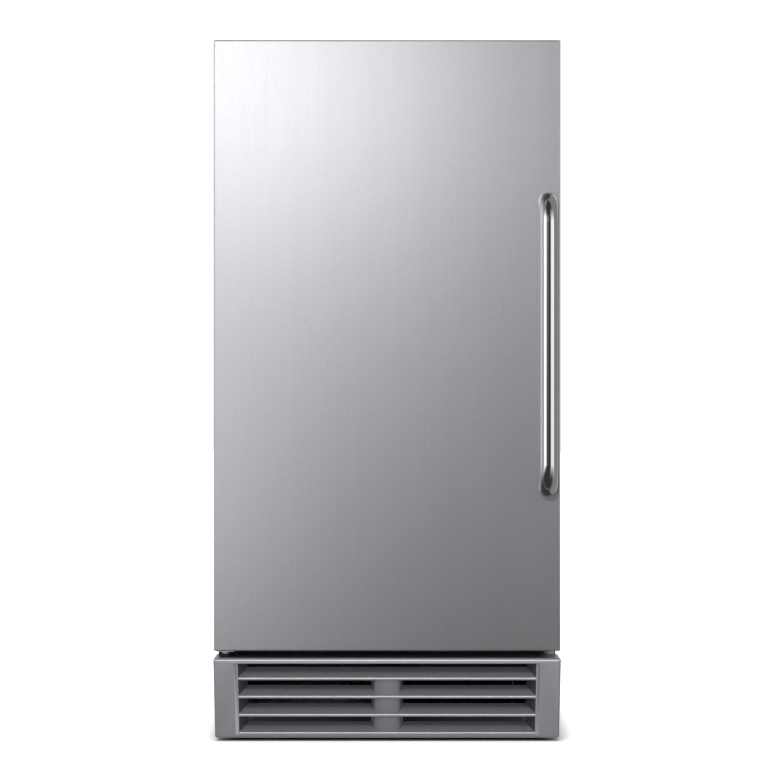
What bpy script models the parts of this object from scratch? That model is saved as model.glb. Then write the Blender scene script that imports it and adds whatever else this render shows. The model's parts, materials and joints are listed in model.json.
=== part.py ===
"""Built-in undercounter ice maker: cabinet, left-hinged door, toe grille and the ice machine inside.

Metres, +Z up, the door faces -Y. The origin is at the middle of the bounding box, on the floor.
Places along the machine are given as depths, counted from the door's front face towards the back.
"""

import math

import bmesh
import bpy
from mathutils import Matrix, Vector

# Fits, cuts and fineness
SEAT_GAP = 0.0003
CUT_OVERRUN = 0.002
FINE_SIDES = 32
ROD_SIDES = 16
SMALL_SIDES = 8
TUBE_RESOLUTION = 2
HANDLE_RESOLUTION = 10
BEND_STEPS = 6
HEX_SIDES = 6
EDGE_SEGMENTS = 2
GRILLE_TOP_SEGMENTS = 4
WELD_SHARE = 0.01
SMOOTH_ANGLE = math.radians(35)

# Heights from the floor, and the door
FLOOR_TO_GRILLE = 0.004
GRILLE_HEIGHT = 0.0989
DOOR_GAP = 0.009
DOOR_HEIGHT = 0.758
DOOR_SIDE_REACH = 0.0025
DOOR_THICKNESS = 0.050
SKIN_SHEET = 0.0012
SKIN_BEND = 0.0015
TOP_FLANGE = 0.012
DOOR_CAP_HEIGHT = 0.020
INNER_PANEL_SHEET = 0.0025
INNER_PANEL_SETBACK = 0.0005
RIDGE_DEPTH = 0.016
RIDGE_WIDTH = 0.012
RIDGE_CLEARANCE = 0.011
GASKET_SPACE = 0.008
GASKET_WIDTH = 0.014
GASKET_INSET = 0.0025

# Door handle
HANDLE_DIAMETER = 0.022
HANDLE_LENGTH = 0.376
HANDLE_STANDOFF = 0.045
HANDLE_BEND = 0.030
HANDLE_TOP_DROP = 0.190
HANDLE_EDGE_INSET = 0.0167
HANDLE_BORE_DEPTH = 0.013
SCREW_DIAMETER = 0.005
SCREW_CLEARANCE = 0.0006
SCREW_HEAD_DIAMETER = 0.012
SCREW_HEAD_HEIGHT = 0.003
SCREW_REACH = 0.010
SCREW_POCKET_CLEARANCE = 0.001

# Cabinet
CABINET_WIDTH = 0.425
CABINET_DEPTH = 0.490
CABINET_TOP_DROP = 0.009
CABINET_SHEET = 0.001
PAN_BOTTOM = 0.024
PAN_RIM = 0.014
PAN_SHEET = 0.0015
PAN_SETBACK = 0.004
RAIL_SHEET = 0.0015
RAIL_HEIGHT = 0.059
FOAM_WALL = 0.030
LINER_WALL = 0.0025
CHAMBER_FRONT_HEIGHT = 0.113
CHAMBER_REAR_HEIGHT = 0.276
LOUVRE_LENGTH = 0.130
LOUVRE_HEIGHT = 0.004
LOUVRE_PITCH = 0.014
LOUVRE_ROWS = 7
LOUVRE_MIDDLE = 0.095
LOUVRE_TOP_DROP = 0.024

# Hinges
HINGE_INSET = 0.013
HINGE_DEPTH = 0.030
HINGE_RUNNING_GAP = 0.001
HINGE_SHEET = 0.003
HINGE_ARM_RADIUS = 0.009
HINGE_LEAF_WIDTH = 0.040
HINGE_LEAF_LENGTH = 0.042
HINGE_LEAF_SETBACK = 0.002
TOP_PIN_DIAMETER = 0.008
TOP_PIN_LENGTH = 0.016
BOTTOM_PIN_DIAMETER = 0.0064
BOTTOM_PIN_ENGAGEMENT = 0.012
BOTTOM_COLLAR_DIAMETER = 0.009
PIN_CLEARANCE = 0.0003
BRACKET_LIFT = 0.0005
BRACKET_WIDTH = 0.024
BRACKET_LEG = 0.022
DOOR_PLATE_SHEET = 0.002
DOOR_PLATE_WIDTH = 0.0238
DOOR_PLATE_LENGTH = 0.032
DOOR_PLATE_TAPER = 0.003
DOOR_PLATE_INSET = 0.0027

# Toe grille
GRILLE_SIDE_REACH = 0.0009
GRILLE_TAPER = 0.0024
GRILLE_TOP_RADIUS = 0.005
GRILLE_EDGE_SHARE = 0.5
GRILLE_WALL = 0.003
GRILLE_NOTCH = 0.008
PILLAR_WIDTH = 0.0259
RECESS_DEPTH = 0.0025
RECESS_CHAMFER = 0.0037
RECESS_REVEAL = 0.0006
GRILLE_TOP_RAIL = 0.007
LOUVRE_COUNT = 4
BLADE_PITCH = 0.0226
LIP_HEIGHT = 0.0034
FIRST_SLOT_HEIGHT = 0.017
BLADE_RUN = 0.0195
BLADE_RISE = 0.011
END_SPLAY = 0.011
POST_FRONT_WIDTH = 0.029
POST_BACK_WIDTH = 0.037
POST_SETBACK = 0.0045
DIVIDER_WIDTH = 0.030
DIVIDER_HEIGHT = 0.060

# Levelling legs
LEG_SIDE_INSET = 0.0275
LEG_FRONT_INSET = 0.027
LEG_BACK_INSET = 0.028
LEG_FOOT_DIAMETER = 0.032
LEG_FOOT_HEIGHT = 0.008
LEG_HEX_DIAMETER = 0.018
LEG_HEX_HEIGHT = 0.006
LEG_STUD_DIAMETER = 0.010
LEG_STUD_LENGTH = 0.050
LEG_BOSS_DIAMETER = 0.020
LEG_BOSS_HEIGHT = 0.012

# Compressor
COMPRESSOR_DIAMETER = 0.150
COMPRESSOR_HEIGHT = 0.185
COMPRESSOR_DOME = 0.038
COMPRESSOR_SIDE_CLEARANCE = 0.0292
COMPRESSOR_BACK_CLEARANCE = 0.028
COMPRESSOR_FRONT_CLEARANCE = 0.0387
COMPRESSOR_BASE_WIDTH = 0.160
COMPRESSOR_BASE_LENGTH = 0.120
COMPRESSOR_BASE_SHEET = 0.003
COMPRESSOR_BASE_LAP = 0.010
TERMINAL_BOX_WIDTH = 0.045
TERMINAL_BOX_REACH = 0.022
TERMINAL_BOX_HEIGHT = 0.055
GROMMET_DIAMETER = 0.022
GROMMET_WAIST = 0.014
GROMMET_HEIGHT = 0.017
GROMMET_EDGE = 0.015

# Condenser, fan and refrigerant lines
CONDENSER_SIDE_CLEARANCE = 0.0512
CONDENSER_HEIGHT = 0.100
CONDENSER_DEPTH = 0.040
CONDENSER_SETBACK = 0.014
FIN_GROOVE_COUNT = 14
FIN_GROOVE_SHARE = 0.5
FIN_GROOVE_DEPTH = 0.012
SHROUD_DEPTH = 0.016
SHROUD_SHEET = 0.002
FAN_DIAMETER = 0.086
FAN_TIP_CLEARANCE = 0.003
FAN_HUB_DIAMETER = 0.026
FAN_BLADE_COUNT = 5
FAN_BLADE_SHEET = 0.0018
FAN_BLADE_CHORD = 0.028
FAN_BLADE_PITCH = math.radians(28)
FAN_HUB_LENGTH = 0.015
FAN_SETBACK = 0.006
FAN_MOTOR_DIAMETER = 0.046
FAN_MOTOR_LENGTH = 0.038
FAN_SHAFT_DIAMETER = 0.005
FAN_SHAFT_CLEARANCE = 0.0002
FAN_FOOT_WIDTH = 0.044
FAN_FOOT_LENGTH = 0.030
FAN_FOOT_SHEET = 0.002
FAN_POST_WIDTH = 0.014
DRIER_DIAMETER = 0.022
DRIER_LENGTH = 0.110
DRIER_NECK = 0.010
DRIER_LEFT = -0.020
DRIER_DEPTH = 0.230
DRIER_LIFT = 0.008
DRIER_SADDLE = 0.016
LINE_DIAMETER = 0.006
CAPILLARY_DIAMETER = 0.004
LINE_BEND = 0.012
LINE_SIDE_RUN = 0.030
LINE_PORT_HEIGHT_SHARE = 0.55
LIQUID_PORT_DROP = 0.010
CAPILLARY_OUT_RUN = 0.025
CAPILLARY_WALL_OFFSET = 0.016
SUCTION_OFFSET = 0.055
SUCTION_WALL_OFFSET = 0.030

# Water inlet, drain and power inlet at the back
PORT_REACH = 0.014
FITTING_SIDE_INSET = 0.0612
VALVE_Z = 0.120
VALVE_SIZE = 0.030
VALVE_LENGTH = 0.046
VALVE_COIL_DIAMETER = 0.028
VALVE_COIL_HEIGHT = 0.030
VALVE_PORT_DIAMETER = 0.0264
VALVE_PORT_BORE = 0.016
VALVE_BORE_DEPTH = 0.012
DRAIN_FROM_VALVE = 0.090
DRAIN_Z = 0.072
DRAIN_DIAMETER = 0.019
DRAIN_BORE = 0.013
DRAIN_LENGTH = 0.055
DRAIN_FLANGE_DIAMETER = 0.034
DRAIN_FLANGE_SHEET = 0.003
FITTING_CLEARANCE = 0.0005
POWER_Z = 0.120
POWER_WIDTH = 0.028
POWER_HEIGHT = 0.022
POWER_LENGTH = 0.024
POWER_WALL = 0.002
POWER_FLANGE_WIDTH = 0.050
POWER_FLANGE_HEIGHT = 0.028
POWER_FLANGE_SHEET = 0.002
POWER_BLADE_WIDTH = 0.004
POWER_BLADE_SHEET = 0.002
POWER_BLADE_LENGTH = 0.013
POWER_BLADE_PITCH = 0.0075

# Ice machine in the top of the bin
EVAPORATOR_SIDE_CLEARANCE = 0.0734
EVAPORATOR_HEIGHT = 0.150
EVAPORATOR_DEPTH = 0.020
EVAPORATOR_BACK_GAP = 0.064
EVAPORATOR_TOP_DROP = 0.057
CELL_COLUMNS = 7
CELL_ROWS = 5
CELL_WALL = 0.004
CELL_DEPTH = 0.014
CHEEK_SHEET = 0.003
CHEEK_REACH = 0.022
CHEEK_TOP_RISE = 0.030
EVAPORATOR_TUBE_DIAMETER = 0.008
EVAPORATOR_TUBE_PASSES = 5
EVAPORATOR_TUBE_INSET = 0.015
DISTRIBUTOR_DIAMETER = 0.020
SPIGOT_DIAMETER = 0.010
SPIGOT_REACH = 0.012
SPRAY_HOLE_COUNT = 7
SPRAY_HOLE_DIAMETER = 0.003
SPRAY_HOLE_DEPTH = 0.006
SPRAY_HOLE_FORWARD = 0.003
CURTAIN_SHEET = 0.003
CURTAIN_GAP = 0.0075
CURTAIN_SIDE_CLEARANCE = 0.002
CURTAIN_TOP_MARGIN = 0.004
CURTAIN_OVERLAP = 0.008
CURTAIN_PIN_DIAMETER = 0.005
CURTAIN_PIN_RISE = 0.018
TROUGH_DROP = 0.030
TROUGH_HEIGHT = 0.045
TROUGH_DEPTH = 0.063
TROUGH_WALL = 0.0022
STEM_DIAMETER = 0.005
STEM_CAP_DIAMETER = 0.009
STEM_CAP_HEIGHT = 0.002
STEM_TOP_DROP = 0.010
STEM_INSET = 0.034
FLOAT_DIAMETER = 0.024
FLOAT_HEIGHT = 0.014
FLOAT_CLEARANCE = 0.0004
PUMP_HOUSING_DIAMETER = 0.042
PUMP_HOUSING_HEIGHT = 0.018
PUMP_MOTOR_DIAMETER = 0.034
PUMP_MOTOR_HEIGHT = 0.044
PUMP_LIFT = 0.006
PUMP_OUTLET_REACH = 0.010
HOSE_DIAMETER = 0.010
HOSE_BEND = 0.0085
HOSE_BACK_RUN = 0.018

# Controls, lamp, probe and scoop in the bin
CONTROL_WIDTH = 0.170
CONTROL_DEPTH = 0.075
CONTROL_HEIGHT = 0.034
CONTROL_SETBACK = 0.016
CONTROL_BEVEL = 0.003
ROCKER_X = 0.040
ROCKER_LENGTH = 0.0208
ROCKER_HEIGHT = 0.013
ROCKER_SINK = 0.006
ROCKER_PROUD = 0.0015
ROCKER_END_CLEARANCE = 0.0011
ROCKER_PIVOT_SINK = 0.003
ROCKER_POCKET_DEPTH = 0.012
ROCKER_TILT = math.radians(8)
LENS_WIDTH = 0.060
LENS_DEPTH = 0.036
LENS_HEIGHT = 0.006
LENS_BEVEL = 0.002
PROBE_Z = 0.500
PROBE_FRONT = 0.090
PROBE_LENGTH = 0.120
PROBE_DIAMETER = 0.008
PROBE_STANDOFF = 0.012
PROBE_CLIP = 0.016
HOOK_Z = 0.610
HOOK_FRONT = 0.140
HOOK_PLATE_WIDTH = 0.020
HOOK_PLATE_HEIGHT = 0.032
HOOK_PLATE_SHEET = 0.004
HOOK_PEG_DIAMETER = 0.008
HOOK_PEG_LENGTH = 0.024
SCOOP_WIDTH = 0.070
SCOOP_HEIGHT = 0.100
SCOOP_THICKNESS = 0.043
SCOOP_WALL = 0.002
SCOOP_HANDLE_WIDTH = 0.020
SCOOP_HANDLE_SHEET = 0.008
SCOOP_HANDLE_LENGTH = 0.085
SCOOP_HANDLE_MARGIN = 0.015
SCOOP_WALL_GAP = 0.010

# Lines that several pieces share
DOOR_BOTTOM = FLOOR_TO_GRILLE + GRILLE_HEIGHT + DOOR_GAP
WELD_DISTANCE = SEAT_GAP * WELD_SHARE
DOOR_TOP = DOOR_BOTTOM + DOOR_HEIGHT
CABINET_TOP = DOOR_TOP - CABINET_TOP_DROP
CABINET_HALF = CABINET_WIDTH / 2
DOOR_HALF = CABINET_HALF + DOOR_SIDE_REACH
GRILLE_TOP_HALF = DOOR_HALF + GRILLE_SIDE_REACH
CABINET_FRONT = DOOR_THICKNESS + GASKET_SPACE
CABINET_BACK = CABINET_FRONT + CABINET_DEPTH
INSIDE_HALF = CABINET_HALF - CABINET_SHEET - SEAT_GAP
INSIDE_BACK = CABINET_BACK - CABINET_SHEET - SEAT_GAP
INSIDE_TOP = CABINET_TOP - CABINET_SHEET - SEAT_GAP
HANDLE_REACH = HANDLE_STANDOFF + HANDLE_DIAMETER / 2
TOTAL_DEPTH = HANDLE_REACH + CABINET_BACK + PORT_REACH
DOOR_FRONT_Y = HANDLE_REACH - TOTAL_DEPTH / 2
HINGE_X = HINGE_INSET - DOOR_HALF
DOOR_CAP_TOP = CABINET_TOP - HINGE_RUNNING_GAP
PAN_FLOOR = PAN_BOTTOM + PAN_SHEET + SEAT_GAP
FLANGE_BOTTOM = PAN_BOTTOM + CHAMBER_FRONT_HEIGHT
CHAMBER_TOP = PAN_BOTTOM + CHAMBER_REAR_HEIGHT
COMPRESSOR_X = INSIDE_HALF - COMPRESSOR_SIDE_CLEARANCE - TERMINAL_BOX_REACH - COMPRESSOR_DIAMETER / 2
COMPRESSOR_DEPTH = INSIDE_BACK - COMPRESSOR_BACK_CLEARANCE - COMPRESSOR_DIAMETER / 2
CHAMBER_REAR_START = COMPRESSOR_DEPTH - COMPRESSOR_DIAMETER / 2 - COMPRESSOR_FRONT_CLEARANCE
LINER_HALF = INSIDE_HALF - FOAM_WALL - SEAT_GAP
LINER_BACK = INSIDE_BACK - FOAM_WALL - SEAT_GAP
LINER_TOP = INSIDE_TOP - FOAM_WALL - SEAT_GAP
LINER_FLOOR = FLANGE_BOTTOM + FOAM_WALL + SEAT_GAP
STEP_FLOOR = CHAMBER_TOP + FOAM_WALL + SEAT_GAP
STEP_FRONT = CHAMBER_REAR_START - FOAM_WALL - SEAT_GAP
FLANGE_BACK = CABINET_FRONT + LINER_WALL
BIN_HALF = LINER_HALF - LINER_WALL
BIN_BACK = LINER_BACK - LINER_WALL
BIN_TOP = LINER_TOP - LINER_WALL
BIN_FLOOR = LINER_FLOOR + LINER_WALL
EVAPORATOR_HALF = BIN_HALF - EVAPORATOR_SIDE_CLEARANCE
EVAPORATOR_WIDTH = 2 * EVAPORATOR_HALF
EVAPORATOR_BACK = BIN_BACK - EVAPORATOR_BACK_GAP
EVAPORATOR_FRONT = EVAPORATOR_BACK - EVAPORATOR_DEPTH
EVAPORATOR_MIDDLE = (EVAPORATOR_FRONT + EVAPORATOR_BACK) / 2
EVAPORATOR_TOP = BIN_TOP - EVAPORATOR_TOP_DROP
EVAPORATOR_BOTTOM = EVAPORATOR_TOP - EVAPORATOR_HEIGHT
CHEEK_INNER = EVAPORATOR_HALF + SEAT_GAP
CHEEK_OUTER = CHEEK_INNER + CHEEK_SHEET
DISTRIBUTOR_Z = EVAPORATOR_TOP + SEAT_GAP + DISTRIBUTOR_DIAMETER / 2
CURTAIN_DEPTH = EVAPORATOR_FRONT - CURTAIN_GAP - CURTAIN_SHEET / 2
CURTAIN_PIN_Z = EVAPORATOR_TOP + CURTAIN_PIN_RISE
TROUGH_TOP = EVAPORATOR_BOTTOM - TROUGH_DROP
TROUGH_BOTTOM = TROUGH_TOP - TROUGH_HEIGHT
TROUGH_FRONT = EVAPORATOR_MIDDLE - TROUGH_DEPTH / 2
STEM_X = STEM_INSET - CHEEK_OUTER
PUMP_X = CHEEK_OUTER + SEAT_GAP + PUMP_HOUSING_DIAMETER / 2
PUMP_BOTTOM = TROUGH_BOTTOM + PUMP_LIFT
COMPRESSOR_BASE_BOTTOM = PAN_FLOOR + GROMMET_HEIGHT + SEAT_GAP
COMPRESSOR_PORT_Z = COMPRESSOR_BASE_BOTTOM + COMPRESSOR_HEIGHT * LINE_PORT_HEIGHT_SHARE
CONDENSER_LEFT = COMPRESSOR_X - COMPRESSOR_DIAMETER / 2
CONDENSER_RIGHT = INSIDE_HALF - CONDENSER_SIDE_CLEARANCE
CONDENSER_FRONT = CABINET_FRONT + CONDENSER_SETBACK
CONDENSER_BACK = CONDENSER_FRONT + CONDENSER_DEPTH
CONDENSER_TOP = PAN_FLOOR + CONDENSER_HEIGHT
SHROUD_FRONT = CONDENSER_BACK + SEAT_GAP
SHROUD_BACK = SHROUD_FRONT + SHROUD_DEPTH
FAN_X = (CONDENSER_LEFT + CONDENSER_RIGHT) / 2
FAN_Z = PAN_FLOOR + CONDENSER_HEIGHT / 2
FAN_FRONT = SHROUD_FRONT + FAN_SETBACK
FAN_BACK = FAN_FRONT + FAN_HUB_LENGTH
DRIER_Z = PAN_FLOOR + DRIER_LIFT + DRIER_DIAMETER / 2
SUCTION_X = COMPRESSOR_X - SUCTION_OFFSET
VALVE_X = FITTING_SIDE_INSET - INSIDE_HALF
DRAIN_X = VALVE_X + DRAIN_FROM_VALVE
POWER_X = INSIDE_HALF - FITTING_SIDE_INSET
CONTROL_FRONT = CABINET_FRONT + CONTROL_SETBACK
CONTROL_TOP = BIN_TOP - SEAT_GAP
CONTROL_BOTTOM = CONTROL_TOP - CONTROL_HEIGHT
ROCKER_Z = (CONTROL_TOP + CONTROL_BOTTOM) / 2
GRILLE_TOP = FLOOR_TO_GRILLE + GRILLE_HEIGHT
GRILLE_BACK = CABINET_FRONT - SEAT_GAP
FIRST_SLOT_TOP = GRILLE_TOP - GRILLE_TOP_RAIL
FIRST_LIP_TOP = FIRST_SLOT_TOP - FIRST_SLOT_HEIGHT
LAST_LIP_TOP = FIRST_LIP_TOP - (LOUVRE_COUNT - 1) * BLADE_PITCH
BLADE_BACK = RECESS_DEPTH + BLADE_RUN
BRACKET_BOTTOM = GRILLE_TOP + BRACKET_LIFT
BRACKET_TOP = BRACKET_BOTTOM + HINGE_SHEET
HANDLE_X = DOOR_HALF - HANDLE_EDGE_INSET
HANDLE_TOP_LEG_Z = DOOR_TOP - HANDLE_TOP_DROP - HANDLE_DIAMETER / 2
HANDLE_BOTTOM_LEG_Z = HANDLE_TOP_LEG_Z - HANDLE_LENGTH + HANDLE_DIAMETER


def clear_scene():
    for old in list(bpy.data.objects):
        bpy.data.objects.remove(old, do_unlink=True)


def new_collection(name):
    collection = bpy.data.collections.new(name)
    bpy.context.scene.collection.children.link(collection)
    return collection


clear_scene()
PARTS = new_collection("built_in_ice_maker")
CUTTERS = new_collection("cutters")
CUTTERS.hide_render = True


def at(x, depth, z):
    """A point of the machine, with depth counted back from the door's front face."""
    return Vector((x, DOOR_FRONT_Y + depth, z))


# Materials
def material(name, colour, roughness, metallic=0.0):
    made = bpy.data.materials.new(name)
    made.use_nodes = True
    shader = made.node_tree.nodes["Principled BSDF"]
    shader.inputs["Base Color"].default_value = (*colour, 1.0)
    shader.inputs["Roughness"].default_value = roughness
    shader.inputs["Metallic"].default_value = metallic
    made.diffuse_color = (*colour, 1.0)
    return made


BRUSHED_STEEL = material("brushed_steel", (0.55, 0.56, 0.57), 0.32, 1.0)
POLISHED_STEEL = material("polished_steel", (0.70, 0.71, 0.72), 0.12, 1.0)
SATIN_SILVER = material("satin_silver_plastic", (0.24, 0.245, 0.25), 0.38, 0.3)
BLACK_STEEL = material("black_painted_steel", (0.02, 0.02, 0.022), 0.5)
GREY_STEEL = material("grey_painted_steel", (0.30, 0.31, 0.32), 0.45)
ZINC_STEEL = material("zinc_plated_steel", (0.60, 0.61, 0.62), 0.35, 1.0)
WHITE_PLASTIC = material("white_plastic", (0.82, 0.83, 0.84), 0.35)
GREY_PLASTIC = material("grey_plastic", (0.35, 0.36, 0.37), 0.45)
BLACK_PLASTIC = material("black_plastic", (0.03, 0.03, 0.032), 0.45)
RUBBER = material("rubber", (0.03, 0.03, 0.03), 0.75)
GASKET_RUBBER = material("gasket_rubber", (0.18, 0.18, 0.185), 0.6)
FOAM = material("insulating_foam", (0.75, 0.68, 0.42), 0.9)
COPPER = material("copper", (0.72, 0.36, 0.22), 0.3, 1.0)
ALUMINIUM = material("aluminium_fins", (0.03, 0.03, 0.032), 0.4)
CLEAR_PLASTIC = material("frosted_lens", (0.85, 0.87, 0.90), 0.25)
SCOOP_PLASTIC = material("scoop_plastic", (0.20, 0.32, 0.50), 0.35)


# Mesh makers
def finished_mesh(name, work):
    mesh = bpy.data.meshes.new(name)
    work.to_mesh(mesh)
    work.free()
    mesh.shade_smooth()
    mesh.set_sharp_from_angle(angle=SMOOTH_ANGLE)
    return mesh


def add_box(work, low, high):
    size = high - low
    place = Matrix.Translation((low + high) / 2) @ Matrix.Diagonal((*size, 1.0))
    bmesh.ops.create_cube(work, size=1.0, matrix=place)


def box_mesh(*corners):
    """One or more boxes, each from its low and high corner."""
    work = bmesh.new()
    for low, high in zip(corners[::2], corners[1::2]):
        add_box(work, low, high)
    return finished_mesh("box", work)


def shaped_box_mesh(corner):
    """A cube whose eight corners are placed by corner(side_x, side_y, side_z), each side -1 or 1."""
    work = bmesh.new()
    bmesh.ops.create_cube(work, size=2.0)
    for vertex in work.verts:
        vertex.co = corner(*(round(value) for value in vertex.co))
    return finished_mesh("shaped_box", work)


def add_rod(work, radius, start, end, sides, end_radius=None):
    span = end - start
    turn = span.to_track_quat("Z", "Y").to_matrix().to_4x4()
    bmesh.ops.create_cone(
        work,
        cap_ends=True,
        segments=sides,
        radius1=radius,
        radius2=radius if end_radius is None else end_radius,
        depth=span.length,
        matrix=Matrix.Translation((start + end) / 2) @ turn,
    )


def rod_mesh(diameter, start, end, sides=ROD_SIDES, end_diameter=None):
    work = bmesh.new()
    end_radius = None if end_diameter is None else end_diameter / 2
    add_rod(work, diameter / 2, start, end, sides, end_radius)
    return finished_mesh("rod", work)


# Object makers
def new_part(name, mesh, look):
    part = bpy.data.objects.new(name, mesh)
    PARTS.objects.link(part)
    mesh.materials.append(look)
    return part


def block(name, low, high, look):
    return new_part(name, box_mesh(low, high), look)


def boolean(part, mesh, operation):
    tool = bpy.data.objects.new(f"{part.name}_{operation.lower()}", mesh)
    tool.hide_render = True
    tool.display_type = "WIRE"
    CUTTERS.objects.link(tool)
    step = part.modifiers.new(operation.lower(), "BOOLEAN")
    step.operation = operation
    step.solver = "EXACT"
    step.object = tool


def cut(part, *meshes):
    for mesh in meshes:
        boolean(part, mesh, "DIFFERENCE")


def join(part, *meshes):
    for mesh in meshes:
        boolean(part, mesh, "UNION")


def round_edges(part, width):
    step = part.modifiers.new("rounded_edges", "BEVEL")
    step.width = width
    step.segments = EDGE_SEGMENTS
    step.limit_method = "ANGLE"


def bent_path(corners, bend, steps=BEND_STEPS):
    """The points of a tube's centre line through these corners, each corner rounded to the bend radius."""
    path = [corners[0]]
    for before, corner, after in zip(corners, corners[1:], corners[2:]):
        back = (before - corner).normalized()
        ahead = (after - corner).normalized()
        half_angle = back.angle(ahead) / 2
        tangent = bend / math.tan(half_angle)
        centre = corner + (back + ahead).normalized() * bend / math.sin(half_angle)
        first = (corner + back * tangent - centre).normalized()
        last = (corner + ahead * tangent - centre).normalized()
        for step in range(steps + 1):
            path.append(centre + first.slerp(last, step / steps) * bend)
    path.append(corners[-1])
    return path


def tube(name, path, diameter, look, resolution=TUBE_RESOLUTION):
    curve = bpy.data.curves.new(name, "CURVE")
    curve.dimensions = "3D"
    curve.bevel_depth = diameter / 2
    curve.bevel_resolution = resolution
    curve.use_fill_caps = True
    spline = curve.splines.new("POLY")
    spline.points.add(len(path) - 1)
    for point, place in zip(spline.points, path):
        point.co = (*place, 1.0)
    drawn = bpy.data.objects.new(name, curve)
    PARTS.objects.link(drawn)
    bpy.context.view_layer.update()
    graph = bpy.context.evaluated_depsgraph_get()
    mesh = bpy.data.meshes.new_from_object(drawn.evaluated_get(graph))
    work = bmesh.new()
    work.from_mesh(mesh)
    bmesh.ops.remove_doubles(work, verts=work.verts, dist=WELD_DISTANCE)
    bmesh.ops.recalc_face_normals(work, faces=work.faces)
    bpy.data.objects.remove(drawn, do_unlink=True)
    return new_part(name, finished_mesh(name, work), look)


def flat_plate_mesh(outline, bottom, top):
    """A flat outline of (x, depth) points, filled and given its thickness between two heights."""
    curve = bpy.data.curves.new("plate", "CURVE")
    curve.dimensions = "2D"
    curve.fill_mode = "BOTH"
    curve.extrude = (top - bottom) / 2
    spline = curve.splines.new("POLY")
    spline.use_cyclic_u = True
    spline.points.add(len(outline) - 1)
    for point, (x, depth) in zip(spline.points, outline):
        point.co = (x, DOOR_FRONT_Y + depth, 0.0, 1.0)
    drawn = bpy.data.objects.new("plate", curve)
    drawn.location.z = (top + bottom) / 2
    PARTS.objects.link(drawn)
    bpy.context.view_layer.update()
    graph = bpy.context.evaluated_depsgraph_get()
    mesh = bpy.data.meshes.new_from_object(drawn.evaluated_get(graph))
    work = bmesh.new()
    work.from_mesh(mesh)
    bmesh.ops.remove_doubles(work, verts=work.verts, dist=WELD_DISTANCE)
    bmesh.ops.recalc_face_normals(work, faces=work.faces)
    work.transform(drawn.matrix_world)
    bpy.data.objects.remove(drawn, do_unlink=True)
    return finished_mesh("plate", work)


def turned(name, profile, x, depth, look, sides=FINE_SIDES):
    """A body turned about an upright axis, from a profile of (radius, z) points running top to bottom."""
    work = bmesh.new()
    points = [work.verts.new((radius, 0.0, z)) for radius, z in profile]
    for one, other in zip(points, points[1:]):
        work.edges.new((one, other))
    mesh = bpy.data.meshes.new(name)
    work.to_mesh(mesh)
    work.free()
    part = new_part(name, mesh, look)
    part.location = at(x, depth, 0.0)
    step = part.modifiers.new("turned", "SCREW")
    step.steps = sides
    step.render_steps = sides
    step.use_merge_vertices = True
    step.merge_threshold = WELD_DISTANCE
    return part


def pivot(name, point, parts):
    """An empty on a joint's axis, with the moving pieces parented to it where they stand."""
    axis = bpy.data.objects.new(name, None)
    axis.location = point
    axis.empty_display_size = HINGE_ARM_RADIUS
    PARTS.objects.link(axis)
    for part in parts:
        part.parent = axis
        part.location = part.location - point
    return axis


# Cabinet shell: base pan, rail, sheet panels
def leg_places():
    for side, side_name in ((-1, "left"), (1, "right")):
        x = side * (CABINET_HALF - LEG_SIDE_INSET)
        yield f"front_{side_name}", x, CABINET_FRONT + LEG_FRONT_INSET
        yield f"rear_{side_name}", x, CABINET_BACK - LEG_BACK_INSET


def base_pan():
    front = CABINET_FRONT + PAN_SETBACK
    pan = block(
        "base_pan",
        at(-INSIDE_HALF, front, PAN_BOTTOM),
        at(INSIDE_HALF, INSIDE_BACK, PAN_BOTTOM + PAN_RIM),
        ZINC_STEEL,
    )
    cut(
        pan,
        box_mesh(
            at(PAN_SHEET - INSIDE_HALF, front + PAN_SHEET, PAN_BOTTOM + PAN_SHEET),
            at(INSIDE_HALF - PAN_SHEET, INSIDE_BACK - PAN_SHEET, PAN_BOTTOM + PAN_RIM + CUT_OVERRUN),
        ),
    )
    bosses = bmesh.new()
    bores = bmesh.new()
    for _, x, depth in leg_places():
        boss_top = PAN_BOTTOM + LEG_BOSS_HEIGHT
        middle = PAN_BOTTOM + PAN_SHEET / 2
        add_rod(bosses, LEG_BOSS_DIAMETER / 2, at(x, depth, middle), at(x, depth, boss_top), ROD_SIDES)
        add_rod(
            bores,
            LEG_STUD_DIAMETER / 2 + SEAT_GAP,
            at(x, depth, PAN_BOTTOM - CUT_OVERRUN),
            at(x, depth, boss_top + CUT_OVERRUN),
            ROD_SIDES,
        )
    join(pan, finished_mesh("leg_bosses", bosses))
    cut(pan, finished_mesh("leg_bores", bores))


def front_rail():
    block(
        "front_rail",
        at(-INSIDE_HALF, CABINET_FRONT, FLANGE_BOTTOM - SEAT_GAP - RAIL_HEIGHT),
        at(INSIDE_HALF, CABINET_FRONT + RAIL_SHEET, FLANGE_BOTTOM - SEAT_GAP),
        BLACK_STEEL,
    )


def side_panels():
    places = (("side_panel_left", -CABINET_HALF), ("side_panel_right", CABINET_HALF - CABINET_SHEET))
    for name, low_x in places:
        block(
            name,
            at(low_x, CABINET_FRONT, PAN_BOTTOM),
            at(low_x + CABINET_SHEET, CABINET_BACK, INSIDE_TOP),
            BLACK_STEEL,
        )


def top_panel():
    block(
        "top_panel",
        at(-CABINET_HALF, CABINET_FRONT, CABINET_TOP - CABINET_SHEET),
        at(CABINET_HALF, CABINET_BACK, CABINET_TOP),
        BLACK_STEEL,
    )


def rear_panel():
    block(
        "rear_panel",
        at(-INSIDE_HALF, CABINET_BACK - CABINET_SHEET, CHAMBER_TOP + SEAT_GAP),
        at(INSIDE_HALF, CABINET_BACK, INSIDE_TOP),
        ZINC_STEEL,
    )


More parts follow.
